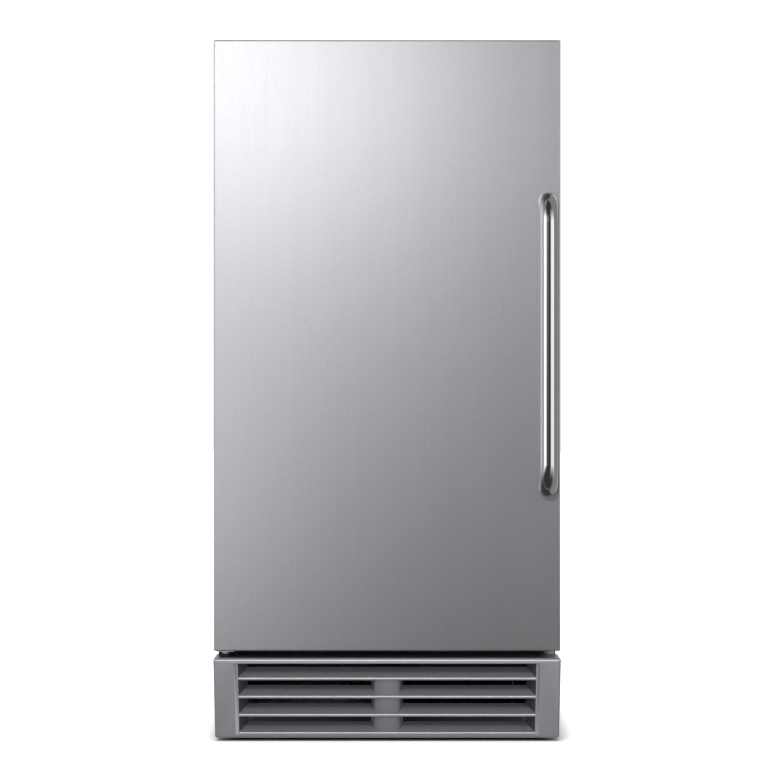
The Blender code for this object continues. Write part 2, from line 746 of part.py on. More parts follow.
def rear_service_cover():
    cover = block(
        "rear_service_cover",
        at(-INSIDE_HALF, CABINET_BACK - CABINET_SHEET, PAN_BOTTOM),
        at(INSIDE_HALF, CABINET_BACK, CHAMBER_TOP),
        ZINC_STEEL,
    )
    through_front = CABINET_BACK - CABINET_SHEET - CUT_OVERRUN
    through_back = CABINET_BACK + CUT_OVERRUN
    corners = []
    for middle in (-LOUVRE_MIDDLE, LOUVRE_MIDDLE):
        for row in range(LOUVRE_ROWS):
            top = CHAMBER_TOP - LOUVRE_TOP_DROP - row * LOUVRE_PITCH
            corners.append(at(middle - LOUVRE_LENGTH / 2, through_front, top - LOUVRE_HEIGHT))
            corners.append(at(middle + LOUVRE_LENGTH / 2, through_back, top))
    half_width = POWER_WIDTH / 2 + FITTING_CLEARANCE
    half_height = POWER_HEIGHT / 2 + FITTING_CLEARANCE
    cut(
        cover,
        box_mesh(*corners),
        rod_mesh(
            VALVE_PORT_DIAMETER + 2 * FITTING_CLEARANCE,
            at(VALVE_X, through_front, VALVE_Z),
            at(VALVE_X, through_back, VALVE_Z),
            FINE_SIDES,
        ),
        rod_mesh(
            DRAIN_DIAMETER + 2 * FITTING_CLEARANCE,
            at(DRAIN_X, through_front, DRAIN_Z),
            at(DRAIN_X, through_back, DRAIN_Z),
            FINE_SIDES,
        ),
        box_mesh(
            at(POWER_X - half_width, through_front, POWER_Z - half_height),
            at(POWER_X + half_width, through_back, POWER_Z + half_height),
        ),
    )


# Insulated bin: moulded liner with a step over the compressor, and the foam round it
def bin_liner():
    liner = block(
        "bin_liner",
        at(-LINER_HALF, CABINET_FRONT, LINER_FLOOR),
        at(LINER_HALF, LINER_BACK, LINER_TOP),
        WHITE_PLASTIC,
    )
    cut(
        liner,
        box_mesh(
            at(-LINER_HALF - CUT_OVERRUN, STEP_FRONT, LINER_FLOOR - CUT_OVERRUN),
            at(LINER_HALF + CUT_OVERRUN, LINER_BACK + CUT_OVERRUN, STEP_FLOOR),
        ),
    )
    join(
        liner,
        box_mesh(at(-INSIDE_HALF, CABINET_FRONT, FLANGE_BOTTOM), at(INSIDE_HALF, FLANGE_BACK, INSIDE_TOP)),
    )
    cut(
        liner,
        box_mesh(
            at(-BIN_HALF, CABINET_FRONT - CUT_OVERRUN, BIN_FLOOR),
            at(BIN_HALF, STEP_FRONT - LINER_WALL, BIN_TOP),
        ),
        box_mesh(
            at(-BIN_HALF, CABINET_FRONT - CUT_OVERRUN, STEP_FLOOR + LINER_WALL),
            at(BIN_HALF, BIN_BACK, BIN_TOP),
        ),
    )


def cabinet_foam():
    foam = block(
        "cabinet_foam",
        at(-INSIDE_HALF, FLANGE_BACK + SEAT_GAP, FLANGE_BOTTOM),
        at(INSIDE_HALF, INSIDE_BACK, INSIDE_TOP),
        FOAM,
    )
    half = LINER_HALF + SEAT_GAP
    front = CABINET_FRONT
    top = LINER_TOP + SEAT_GAP
    cut(
        foam,
        box_mesh(
            at(-INSIDE_HALF - CUT_OVERRUN, CHAMBER_REAR_START, FLANGE_BOTTOM - CUT_OVERRUN),
            at(INSIDE_HALF + CUT_OVERRUN, INSIDE_BACK + CUT_OVERRUN, CHAMBER_TOP),
        ),
        box_mesh(at(-half, front, LINER_FLOOR - SEAT_GAP), at(half, STEP_FRONT + SEAT_GAP, top)),
        box_mesh(at(-half, front, STEP_FLOOR - SEAT_GAP), at(half, LINER_BACK + SEAT_GAP, top)),
    )


# Toe grille: one moulding with two pillars, a recessed field and sloping louvres
def grille_half(z):
    """Half the grille's width at a height: its sides draw in towards the floor."""
    return GRILLE_TOP_HALF - GRILLE_TAPER * (GRILLE_TOP - z) / GRILLE_HEIGHT


def louvre_climb(depth):
    """How far the louvres have risen at a depth behind the recessed lips."""
    return BLADE_RISE * (depth - RECESS_DEPTH) / BLADE_RUN


def grille_body_mesh():
    def corner(side_x, side_y, side_z):
        z = GRILLE_TOP if side_z > 0 else FLOOR_TO_GRILLE
        return at(side_x * grille_half(z), GRILLE_BACK if side_y > 0 else 0.0, z)

    mesh = shaped_box_mesh(corner)
    weights = mesh.attributes.new("bevel_weight_edge", "FLOAT", "EDGE")
    for edge in mesh.edges:
        ends = [mesh.vertices[index].co for index in edge.vertices]
        front = [end for end in ends if end.y < DOOR_FRONT_Y + GRILLE_BACK / 2]
        high = [end for end in ends if end.z > (GRILLE_TOP + FLOOR_TO_GRILLE) / 2]
        if front:
            weights.data[edge.index].value = 1.0 if len(front) + len(high) == 4 else GRILLE_EDGE_SHARE
    return mesh


def recess_mesh():
    def corner(side_x, side_y, side_z):
        z = FIRST_SLOT_TOP + RECESS_REVEAL if side_z > 0 else LAST_LIP_TOP - LIP_HEIGHT
        depth = RECESS_DEPTH if side_y > 0 else -CUT_OVERRUN
        inset = PILLAR_WIDTH + RECESS_CHAMFER * depth / RECESS_DEPTH
        return at(side_x * (grille_half(z) - inset), depth, z)

    return shaped_box_mesh(corner)


def slot_mesh(lip_top, slot_top, top_climbs):
    def corner(side_x, side_y, side_z):
        depth = BLADE_BACK + CUT_OVERRUN if side_y > 0 else RECESS_DEPTH - SEAT_GAP
        climb = louvre_climb(depth)
        z = slot_top + (climb if top_climbs else 0.0) if side_z > 0 else lip_top + climb
        field_z = slot_top if side_z > 0 else lip_top
        inset = PILLAR_WIDTH + RECESS_CHAMFER + RECESS_REVEAL
        inset += END_SPLAY * (depth - RECESS_DEPTH) / BLADE_RUN
        return at(side_x * (grille_half(field_z) - inset), depth, z)

    return shaped_box_mesh(corner)


def centre_post_mesh():
    def corner(side_x, side_y, side_z):
        depth = BLADE_BACK - SEAT_GAP if side_y > 0 else RECESS_DEPTH + POST_SETBACK
        lip_top = FIRST_LIP_TOP if side_z > 0 else LAST_LIP_TOP
        width = POST_BACK_WIDTH if side_y > 0 else POST_FRONT_WIDTH
        return at(side_x * width / 2, depth, lip_top - LIP_HEIGHT / 2 + louvre_climb(depth))

    return shaped_box_mesh(corner)


def toe_grille():
    grille = new_part("toe_grille", grille_body_mesh(), SATIN_SILVER)
    rounding = grille.modifiers.new("rounded_front", "BEVEL")
    rounding.width = GRILLE_TOP_RADIUS
    rounding.segments = GRILLE_TOP_SEGMENTS
    rounding.limit_method = "WEIGHT"
    cut(grille, recess_mesh())
    for louvre in range(LOUVRE_COUNT):
        lip_top = FIRST_LIP_TOP - louvre * BLADE_PITCH
        slot_top = lip_top + BLADE_PITCH - LIP_HEIGHT if louvre else FIRST_SLOT_TOP
        cut(grille, slot_mesh(lip_top, slot_top, louvre > 0))

    def cavity(side_x, side_y, side_z):
        z = GRILLE_TOP - GRILLE_WALL if side_z > 0 else FLOOR_TO_GRILLE + GRILLE_WALL
        depth = GRILLE_BACK + CUT_OVERRUN if side_y > 0 else BLADE_BACK
        return at(side_x * (grille_half(z) - GRILLE_WALL), depth, z)

    def notch(side_x, side_y, side_z):
        z = GRILLE_TOP + CUT_OVERRUN if side_z > 0 else GRILLE_TOP - 2 * GRILLE_WALL
        depth = GRILLE_BACK + CUT_OVERRUN if side_y > 0 else GRILLE_BACK - GRILLE_NOTCH
        return at(side_x * (grille_half(GRILLE_TOP) - GRILLE_WALL - SEAT_GAP), depth, z)

    cut(grille, shaped_box_mesh(cavity), shaped_box_mesh(notch))
    join(grille, centre_post_mesh())


def air_divider():
    bottom = FLOOR_TO_GRILLE + GRILLE_WALL + SEAT_GAP
    block(
        "air_divider",
        at(-DIVIDER_WIDTH / 2, BLADE_BACK + SEAT_GAP, bottom),
        at(DIVIDER_WIDTH / 2, CABINET_FRONT - SEAT_GAP, bottom + DIVIDER_HEIGHT + BLADE_PITCH),
        GREY_PLASTIC,
    )


# Hinges: a leaf on the cabinet top, a bracket behind the toe grille, a plate under the door
def arm_outline(root_depth, leaf_left, leaf_right, leaf_depth):
    """A leaf with an arm that reaches forward to a round nose about the hinge pin."""
    outline = [
        (leaf_left, leaf_depth),
        (leaf_right, leaf_depth),
        (leaf_right, root_depth),
        (HINGE_X + HINGE_ARM_RADIUS, root_depth),
    ]
    for step in range(2 * BEND_STEPS + 1):
        angle = -math.pi * step / (2 * BEND_STEPS)
        outline.append(
            (HINGE_X + HINGE_ARM_RADIUS * math.cos(angle), HINGE_DEPTH + HINGE_ARM_RADIUS * math.sin(angle))
        )
    return outline


def hinge_top_plate():
    bottom = CABINET_TOP + SEAT_GAP
    leaf_left = -CABINET_HALF + SEAT_GAP
    outline = arm_outline(
        CABINET_FRONT + HINGE_LEAF_SETBACK,
        leaf_left,
        leaf_left + HINGE_LEAF_WIDTH,
        CABINET_FRONT + HINGE_LEAF_SETBACK + HINGE_LEAF_LENGTH,
    )
    plate = new_part("hinge_top_plate", flat_plate_mesh(outline, bottom, bottom + HINGE_SHEET), BLACK_STEEL)
    join(
        plate,
        rod_mesh(
            TOP_PIN_DIAMETER,
            at(HINGE_X, HINGE_DEPTH, bottom + HINGE_SHEET / 2),
            at(HINGE_X, HINGE_DEPTH, bottom - TOP_PIN_LENGTH),
        ),
    )


def hinge_bottom_bracket():
    left = DOOR_PLATE_INSET - DOOR_HALF
    back = CABINET_FRONT - SEAT_GAP
    outline = arm_outline(back - HINGE_SHEET, left, left + BRACKET_WIDTH, back)
    bracket = new_part(
        "hinge_bottom_bracket", flat_plate_mesh(outline, BRACKET_BOTTOM, BRACKET_TOP), BLACK_STEEL
    )
    join(
        bracket,
        box_mesh(
            at(left, back - HINGE_SHEET, BRACKET_TOP - BRACKET_LEG),
            at(left + BRACKET_WIDTH, back, BRACKET_BOTTOM + HINGE_SHEET / 2),
        ),
        rod_mesh(
            BOTTOM_COLLAR_DIAMETER,
            at(HINGE_X, HINGE_DEPTH, BRACKET_TOP - HINGE_SHEET / 2),
            at(HINGE_X, HINGE_DEPTH, DOOR_BOTTOM - 2 * SEAT_GAP - DOOR_PLATE_SHEET),
        ),
        rod_mesh(
            BOTTOM_PIN_DIAMETER,
            at(HINGE_X, HINGE_DEPTH, BRACKET_TOP + SEAT_GAP),
            at(HINGE_X, HINGE_DEPTH, DOOR_BOTTOM + BOTTOM_PIN_ENGAGEMENT),
        ),
    )


def bottom_pin_bore(bottom, top):
    return rod_mesh(
        BOTTOM_PIN_DIAMETER + 2 * PIN_CLEARANCE,
        at(HINGE_X, HINGE_DEPTH, bottom - CUT_OVERRUN),
        at(HINGE_X, HINGE_DEPTH, top + CUT_OVERRUN),
    )


def hinge_door_plate():
    top = DOOR_BOTTOM - SEAT_GAP
    bottom = top - DOOR_PLATE_SHEET
    left = DOOR_PLATE_INSET - DOOR_HALF

    def corner(side_x, side_y, side_z):
        taper = DOOR_PLATE_TAPER if side_x > 0 and side_z < 0 else 0.0
        x = left + (DOOR_PLATE_WIDTH - taper if side_x > 0 else 0.0)
        return at(x, HINGE_DEPTH + side_y * DOOR_PLATE_LENGTH / 2, top if side_z > 0 else bottom)

    plate = new_part("hinge_door_plate", shaped_box_mesh(corner), ZINC_STEEL)
    cut(plate, bottom_pin_bore(bottom, top))
    return plate


# Door: folded skin, foam core, two end caps, moulded inner panel, gasket and handle
def door_skin():
    back = DOOR_THICKNESS - INNER_PANEL_SHEET - SEAT_GAP
    skin = block("door_skin", at(-DOOR_HALF, 0.0, DOOR_BOTTOM), at(DOOR_HALF, back, DOOR_TOP), BRUSHED_STEEL)
    round_edges(skin, SKIN_BEND)
    screw_hole = SCREW_DIAMETER + SCREW_CLEARANCE
    cut(
        skin,
        box_mesh(
            at(SKIN_SHEET - DOOR_HALF, SKIN_SHEET, DOOR_BOTTOM + SKIN_SHEET),
            at(DOOR_HALF - SKIN_SHEET, back + CUT_OVERRUN, DOOR_TOP - SKIN_SHEET),
        ),
        box_mesh(
            at(-DOOR_HALF - CUT_OVERRUN, TOP_FLANGE, DOOR_CAP_TOP),
            at(DOOR_HALF + CUT_OVERRUN, back + CUT_OVERRUN, DOOR_TOP + CUT_OVERRUN),
        ),
        bottom_pin_bore(DOOR_BOTTOM, DOOR_BOTTOM + SKIN_SHEET),
    )
    for z in (HANDLE_TOP_LEG_Z, HANDLE_BOTTOM_LEG_Z):
        outside = at(HANDLE_X, -CUT_OVERRUN, z)
        inside = at(HANDLE_X, SKIN_SHEET + CUT_OVERRUN, z)
        cut(skin, rod_mesh(screw_hole, outside, inside))
    return skin


def door_core(name, bottom, top, look):
    """A block that fills the skin's inside between two heights."""
    half = DOOR_HALF - SKIN_SHEET - SEAT_GAP
    front = SKIN_SHEET + SEAT_GAP
    back = DOOR_THICKNESS - INNER_PANEL_SHEET - SEAT_GAP
    return block(name, at(-half, front, bottom), at(half, back, top), look)


def door_caps():
    top_cap = door_core("door_top_cap", DOOR_CAP_TOP - DOOR_CAP_HEIGHT, DOOR_CAP_TOP, BLACK_PLASTIC)
    cut(
        top_cap,
        rod_mesh(
            TOP_PIN_DIAMETER + 2 * PIN_CLEARANCE,
            at(HINGE_X, HINGE_DEPTH, DOOR_CAP_TOP - DOOR_CAP_HEIGHT - CUT_OVERRUN),
            at(HINGE_X, HINGE_DEPTH, DOOR_CAP_TOP + CUT_OVERRUN),
        ),
    )
    bottom = DOOR_BOTTOM + SKIN_SHEET + SEAT_GAP
    bottom_cap = door_core("door_bottom_cap", bottom, bottom + DOOR_CAP_HEIGHT, BLACK_PLASTIC)
    cut(bottom_cap, bottom_pin_bore(bottom, bottom + DOOR_CAP_HEIGHT))
    return [top_cap, bottom_cap]


def door_foam():
    bottom = DOOR_BOTTOM + SKIN_SHEET + DOOR_CAP_HEIGHT + 2 * SEAT_GAP
    top = DOOR_CAP_TOP - DOOR_CAP_HEIGHT - SEAT_GAP
    foam = door_core("door_foam", bottom, top, FOAM)
    for z in (HANDLE_TOP_LEG_Z, HANDLE_BOTTOM_LEG_Z):
        cut(
            foam,
            rod_mesh(
                SCREW_HEAD_DIAMETER + 2 * SCREW_POCKET_CLEARANCE,
                at(HANDLE_X, 0.0, z),
                at(HANDLE_X, SKIN_SHEET + SCREW_HEAD_HEIGHT + 2 * SCREW_POCKET_CLEARANCE, z),
            ),
        )
    return foam


def door_inner_panel():
    half = DOOR_HALF - INNER_PANEL_SETBACK
    front = DOOR_THICKNESS - INNER_PANEL_SHEET
    panel = block(
        "door_inner_panel",
        at(-half, front, DOOR_BOTTOM + INNER_PANEL_SETBACK),
        at(half, DOOR_THICKNESS, DOOR_CAP_TOP),
        WHITE_PLASTIC,
    )
    ridge_half = BIN_HALF - RIDGE_CLEARANCE
    ridge_bottom = BIN_FLOOR + RIDGE_CLEARANCE
    ridge_top = BIN_TOP - RIDGE_CLEARANCE
    middle = DOOR_THICKNESS - INNER_PANEL_SHEET / 2
    ridge_back = DOOR_THICKNESS + RIDGE_DEPTH
    join(
        panel,
        box_mesh(at(-ridge_half, middle, ridge_bottom), at(ridge_half, ridge_back, ridge_top)),
    )
    cut(
        panel,
        box_mesh(
            at(RIDGE_WIDTH - ridge_half, DOOR_THICKNESS, ridge_bottom + RIDGE_WIDTH),
            at(ridge_half - RIDGE_WIDTH, ridge_back + CUT_OVERRUN, ridge_top - RIDGE_WIDTH),
        ),
    )
    return panel


def door_gasket():
    half = DOOR_HALF - HINGE_INSET - INNER_PANEL_SETBACK
    bottom = FLANGE_BOTTOM + GASKET_INSET
    top = INSIDE_TOP - GASKET_INSET
    front = DOOR_THICKNESS + SEAT_GAP
    back = CABINET_FRONT - SEAT_GAP
    gasket = block("door_gasket", at(-half, front, bottom), at(half, back, top), GASKET_RUBBER)
    cut(
        gasket,
        box_mesh(
            at(GASKET_WIDTH - half, front - CUT_OVERRUN, bottom + GASKET_WIDTH),
            at(half - GASKET_WIDTH, back + CUT_OVERRUN, top - GASKET_WIDTH),
        ),
    )
    return gasket


def door_handle():
    corners = [
        at(HANDLE_X, -SEAT_GAP, HANDLE_TOP_LEG_Z),
        at(HANDLE_X, -HANDLE_STANDOFF, HANDLE_TOP_LEG_Z),
        at(HANDLE_X, -HANDLE_STANDOFF, HANDLE_BOTTOM_LEG_Z),
        at(HANDLE_X, -SEAT_GAP, HANDLE_BOTTOM_LEG_Z),
    ]
    path = bent_path(corners, HANDLE_BEND, 2 * BEND_STEPS)
    handle = tube("door_handle", path, HANDLE_DIAMETER, POLISHED_STEEL, HANDLE_RESOLUTION)
    bore = SCREW_DIAMETER + SCREW_CLEARANCE
    for z in (HANDLE_TOP_LEG_Z, HANDLE_BOTTOM_LEG_Z):
        cut(handle, rod_mesh(bore, at(HANDLE_X, -HANDLE_BORE_DEPTH, z), at(HANDLE_X, CUT_OVERRUN, z)))
    return handle


def handle_screws():
    screws = []
    head_front = SKIN_SHEET + SEAT_GAP
    for name, z in (("handle_screw_top", HANDLE_TOP_LEG_Z), ("handle_screw_bottom", HANDLE_BOTTOM_LEG_Z)):
        head = rod_mesh(
            SCREW_HEAD_DIAMETER, at(HANDLE_X, head_front, z), at(HANDLE_X, head_front + SCREW_HEAD_HEIGHT, z)
        )
        screw = new_part(name, head, ZINC_STEEL)
        middle = head_front + SCREW_HEAD_HEIGHT / 2
        join(screw, rod_mesh(SCREW_DIAMETER, at(HANDLE_X, -SCREW_REACH, z), at(HANDLE_X, middle, z)))
        screws.append(screw)
    return screws


def door():
    pieces = [door_skin(), door_foam(), door_inner_panel(), door_gasket(), door_handle(), hinge_door_plate()]
    pieces += door_caps() + handle_screws()
    pivot("door_hinge_axis", at(HINGE_X, HINGE_DEPTH, DOOR_BOTTOM), pieces)


# Levelling legs: round foot, hexagon and threaded stud up through a boss of the base pan
def levelling_legs():
    for name, x, depth in leg_places():
        foot = rod_mesh(LEG_FOOT_DIAMETER, at(x, depth, 0.0), at(x, depth, LEG_FOOT_HEIGHT), ROD_SIDES)
        leg = new_part(f"levelling_leg_{name}", foot, BLACK_PLASTIC)
        middle = LEG_FOOT_HEIGHT / 2
        hex_top = LEG_FOOT_HEIGHT + LEG_HEX_HEIGHT
        stud_top = hex_top + LEG_STUD_LENGTH - middle
        join(
            leg,
            rod_mesh(LEG_HEX_DIAMETER, at(x, depth, middle), at(x, depth, hex_top), HEX_SIDES),
            rod_mesh(LEG_STUD_DIAMETER, at(x, depth, middle), at(x, depth, stud_top)),
        )
        pivot(f"leg_axis_{name}", at(x, depth, 0.0), [leg])


# Compressor: welded shell on a base plate, four grommets
def compressor():
    bottom = COMPRESSOR_BASE_BOTTOM + COMPRESSOR_BASE_SHEET / 2
    top = COMPRESSOR_BASE_BOTTOM + COMPRESSOR_HEIGHT
    radius = COMPRESSOR_DIAMETER / 2
    rings = BEND_STEPS
    profile = []
    for step in range(rings + 1):
        angle = math.pi / 2 * (1 - step / rings)
        profile.append((radius * math.cos(angle), top - COMPRESSOR_DOME * (1 - math.sin(angle))))
    profile[0] = (0.0, top)
    for step in range(rings + 1):
        angle = math.pi / 2 * step / rings
        profile.append((radius * math.cos(angle), bottom + COMPRESSOR_DOME * (1 - math.sin(angle))))
    profile[-1] = (0.0, bottom)
    shell = turned("compressor", profile, COMPRESSOR_X, COMPRESSOR_DEPTH, BLACK_STEEL)
    half_width = COMPRESSOR_BASE_WIDTH / 2
    half_length = COMPRESSOR_BASE_LENGTH / 2
    box_x = COMPRESSOR_X + radius
    box_front = COMPRESSOR_DEPTH - TERMINAL_BOX_WIDTH / 2
    box_bottom = COMPRESSOR_PORT_Z - TERMINAL_BOX_HEIGHT / 2
    join(
        shell,
        box_mesh(
            at(COMPRESSOR_X - half_width, COMPRESSOR_DEPTH - half_length, COMPRESSOR_BASE_BOTTOM),
            at(
                COMPRESSOR_X + half_width,
                COMPRESSOR_DEPTH + half_length,
                COMPRESSOR_BASE_BOTTOM + COMPRESSOR_BASE_SHEET,
            ),
        ),
        box_mesh(
            at(box_x - COMPRESSOR_BASE_LAP, box_front, box_bottom),
            at(box_x + TERMINAL_BOX_REACH, box_front + TERMINAL_BOX_WIDTH, box_bottom + TERMINAL_BOX_HEIGHT),
        ),
    )
    half_x = half_width - GROMMET_EDGE
    half_y = half_length - GROMMET_EDGE
    places = [(-half_x, -half_y), (half_x, -half_y), (-half_x, half_y), (half_x, half_y)]
    for number, (x, depth) in enumerate(places, start=1):
        wide = GROMMET_DIAMETER / 2
        waist = GROMMET_WAIST / 2
        grommet_top = PAN_FLOOR + GROMMET_HEIGHT
        profile = [
            (0.0, grommet_top),
            (wide, grommet_top),
            (wide, grommet_top - GROMMET_HEIGHT / 4),
            (waist, grommet_top - GROMMET_HEIGHT / 2),
            (wide, PAN_FLOOR + GROMMET_HEIGHT / 4),
            (wide, PAN_FLOOR),
            (0.0, PAN_FLOOR),
        ]
        name = f"compressor_grommet_{number}"
        turned(name, profile, COMPRESSOR_X + x, COMPRESSOR_DEPTH + depth, RUBBER, ROD_SIDES)


# Condenser and its fan
def condenser_coil():
    left = CONDENSER_LEFT
    right = CONDENSER_RIGHT
    coil = block(
        "condenser_coil",
        at(left, CONDENSER_FRONT, PAN_FLOOR),
        at(right, CONDENSER_BACK, CONDENSER_TOP),
        ALUMINIUM,
    )
    pitch = (right - left) / FIN_GROOVE_COUNT
    groove = pitch * FIN_GROOVE_SHARE
    corners = []
    for number in range(FIN_GROOVE_COUNT):
        start = left + number * pitch + (pitch - groove) / 2
        corners.append(at(start, CONDENSER_FRONT - CUT_OVERRUN, PAN_FLOOR - CUT_OVERRUN))
        corners.append(at(start + groove, CONDENSER_FRONT + FIN_GROOVE_DEPTH, CONDENSER_TOP + CUT_OVERRUN))
    cut(coil, box_mesh(*corners))


def fan_shroud():
    left = CONDENSER_LEFT
    right = CONDENSER_RIGHT
    shroud = block(
        "fan_shroud", at(left, SHROUD_FRONT, PAN_FLOOR), at(right, SHROUD_BACK, CONDENSER_TOP), BLACK_PLASTIC
    )
    cut(
        shroud,
        box_mesh(
            at(left + SHROUD_SHEET, SHROUD_FRONT - CUT_OVERRUN, PAN_FLOOR + SHROUD_SHEET),
            at(right - SHROUD_SHEET, SHROUD_BACK - SHROUD_SHEET, CONDENSER_TOP - SHROUD_SHEET),
        ),
        rod_mesh(
            FAN_DIAMETER + 2 * FAN_TIP_CLEARANCE,
            at(FAN_X, SHROUD_BACK - SHROUD_SHEET - CUT_OVERRUN, FAN_Z),
            at(FAN_X, SHROUD_BACK + CUT_OVERRUN, FAN_Z),
            FINE_SIDES,
        ),
    )


def fan_blade():
    hub = rod_mesh(FAN_HUB_DIAMETER, at(FAN_X, FAN_FRONT, FAN_Z), at(FAN_X, FAN_BACK, FAN_Z))
    fan = new_part("fan_blade", hub, BLACK_PLASTIC)
    centre = at(FAN_X, (FAN_FRONT + FAN_BACK) / 2, FAN_Z)
    root = FAN_HUB_DIAMETER / 2 - FAN_BLADE_SHEET
    for number in range(FAN_BLADE_COUNT):
        work = bmesh.new()
        half_chord = FAN_BLADE_CHORD / 2
        add_box(
            work,
            Vector((-half_chord, -FAN_BLADE_SHEET / 2, root)),
            Vector((half_chord, FAN_BLADE_SHEET / 2, FAN_DIAMETER / 2 - FAN_BLADE_SHEET)),
        )
        for vertex in work.verts:
            if vertex.co.z < FAN_HUB_DIAMETER:
                vertex.co.x *= FAN_HUB_DIAMETER / 2 / FAN_BLADE_CHORD
        around = Matrix.Rotation(2 * math.pi * number / FAN_BLADE_COUNT, 4, "Y")
        work.transform(Matrix.Translation(centre) @ around @ Matrix.Rotation(FAN_BLADE_PITCH, 4, "Z"))
        join(fan, finished_mesh("blade", work))
    cut(
        fan,
        rod_mesh(
            FAN_SHAFT_DIAMETER + 2 * FAN_SHAFT_CLEARANCE,
            at(FAN_X, FAN_FRONT - CUT_OVERRUN, FAN_Z),
            at(FAN_X, FAN_BACK + CUT_OVERRUN, FAN_Z),
        ),
    )
    pivot("fan_axis", centre, [fan])


def fan_motor():
    front = FAN_BACK + SEAT_GAP
    back = front + FAN_MOTOR_LENGTH
    can = rod_mesh(FAN_MOTOR_DIAMETER, at(FAN_X, front, FAN_Z), at(FAN_X, back, FAN_Z), FINE_SIDES)
    motor = new_part("fan_motor", can, GREY_STEEL)
    middle = (front + back) / 2
    foot_top = PAN_FLOOR + FAN_FOOT_SHEET
    join(
        motor,
        rod_mesh(FAN_SHAFT_DIAMETER, at(FAN_X, FAN_FRONT, FAN_Z), at(FAN_X, middle, FAN_Z)),
        box_mesh(
            at(FAN_X - FAN_POST_WIDTH / 2, middle - FAN_POST_WIDTH / 2, PAN_FLOOR + FAN_FOOT_SHEET / 2),
            at(FAN_X + FAN_POST_WIDTH / 2, middle + FAN_POST_WIDTH / 2, FAN_Z - FAN_MOTOR_DIAMETER / 4),
        ),
        box_mesh(
            at(FAN_X - FAN_FOOT_WIDTH / 2, middle - FAN_FOOT_LENGTH / 2, PAN_FLOOR),
            at(FAN_X + FAN_FOOT_WIDTH / 2, middle + FAN_FOOT_LENGTH / 2, foot_top),
        ),
    )


# Filter drier and the refrigerant lines that show in the machine space
def filter_drier():
    left = DRIER_LEFT
    right = left + DRIER_LENGTH
    neck = DRIER_NECK

    def on_axis(x):
        return at(x, DRIER_DEPTH, DRIER_Z)

    def cone(wide_x, narrow_x):
        """A spun end, from the can's width down to the tube's."""
        return rod_mesh(LINE_DIAMETER, on_axis(wide_x), on_axis(narrow_x), ROD_SIDES, DRIER_DIAMETER / 2)

    can = rod_mesh(DRIER_DIAMETER, on_axis(left + neck), on_axis(right - neck), ROD_SIDES)
    drier = new_part("filter_drier", can, COPPER)
    middle = (left + right) / 2
    join(
        drier,
        cone(left + neck + LINE_DIAMETER, left),
        cone(right - neck - LINE_DIAMETER, right),
        box_mesh(
            at(middle - DRIER_SADDLE / 2, DRIER_DEPTH - DRIER_SADDLE / 2, PAN_FLOOR),
            at(middle + DRIER_SADDLE / 2, DRIER_DEPTH + DRIER_SADDLE / 2, DRIER_Z - DRIER_DIAMETER / 4),
        ),
    )


def refrigerant_lines():
    condenser_end = CONDENSER_LEFT - SEAT_GAP
    coil_middle = (CONDENSER_FRONT + CONDENSER_BACK) / 2
    high_port = CONDENSER_TOP - LIQUID_PORT_DROP
    compressor_side = COMPRESSOR_X - COMPRESSOR_DIAMETER / 2 - SEAT_GAP
    riser_x = condenser_end - LINE_SIDE_RUN
    tube(
        "discharge_line",
        bent_path(
            [
                at(compressor_side, COMPRESSOR_DEPTH, COMPRESSOR_PORT_Z),
                at(riser_x, COMPRESSOR_DEPTH, COMPRESSOR_PORT_Z),
                at(riser_x, COMPRESSOR_DEPTH, high_port),
                at(riser_x, coil_middle, high_port),
                at(condenser_end, coil_middle, high_port),
            ],
            LINE_BEND,
        ),
        LINE_DIAMETER,
        COPPER,
    )
    drier_start = DRIER_LEFT - SEAT_GAP
    low_x = drier_start - LINE_SIDE_RUN
    tube(
        "liquid_line",
        bent_path(
            [
                at(condenser_end, coil_middle, DRIER_Z),
                at(low_x, coil_middle, DRIER_Z),
                at(low_x, DRIER_DEPTH, DRIER_Z),
                at(drier_start, DRIER_DEPTH, DRIER_Z),
            ],
            LINE_BEND,
        ),
        LINE_DIAMETER,
        COPPER,
    )
    drier_end = DRIER_LEFT + DRIER_LENGTH + SEAT_GAP
    rise_x = drier_end + CAPILLARY_OUT_RUN
    rise_depth = CHAMBER_REAR_START + CAPILLARY_WALL_OFFSET
    ceiling = CHAMBER_TOP - SEAT_GAP
    tube(
        "capillary_line",
        bent_path(
            [
                at(drier_end, DRIER_DEPTH, DRIER_Z),
                at(rise_x, DRIER_DEPTH, DRIER_Z),
                at(rise_x, rise_depth, DRIER_Z),
                at(rise_x, rise_depth, ceiling),
            ],
            LINE_BEND,
        ),
        CAPILLARY_DIAMETER,
        COPPER,
    )
    drop = at(SUCTION_X, CHAMBER_REAR_START + SUCTION_WALL_OFFSET, COMPRESSOR_PORT_Z)
    shell_centre = at(COMPRESSOR_X, COMPRESSOR_DEPTH, COMPRESSOR_PORT_Z)
    reach = (drop - shell_centre).normalized() * (COMPRESSOR_DIAMETER / 2 + SEAT_GAP)
    top = drop.copy()
    top.z = ceiling
    tube("suction_line", bent_path([top, drop, shell_centre + reach], LINE_BEND), LINE_DIAMETER, COPPER)


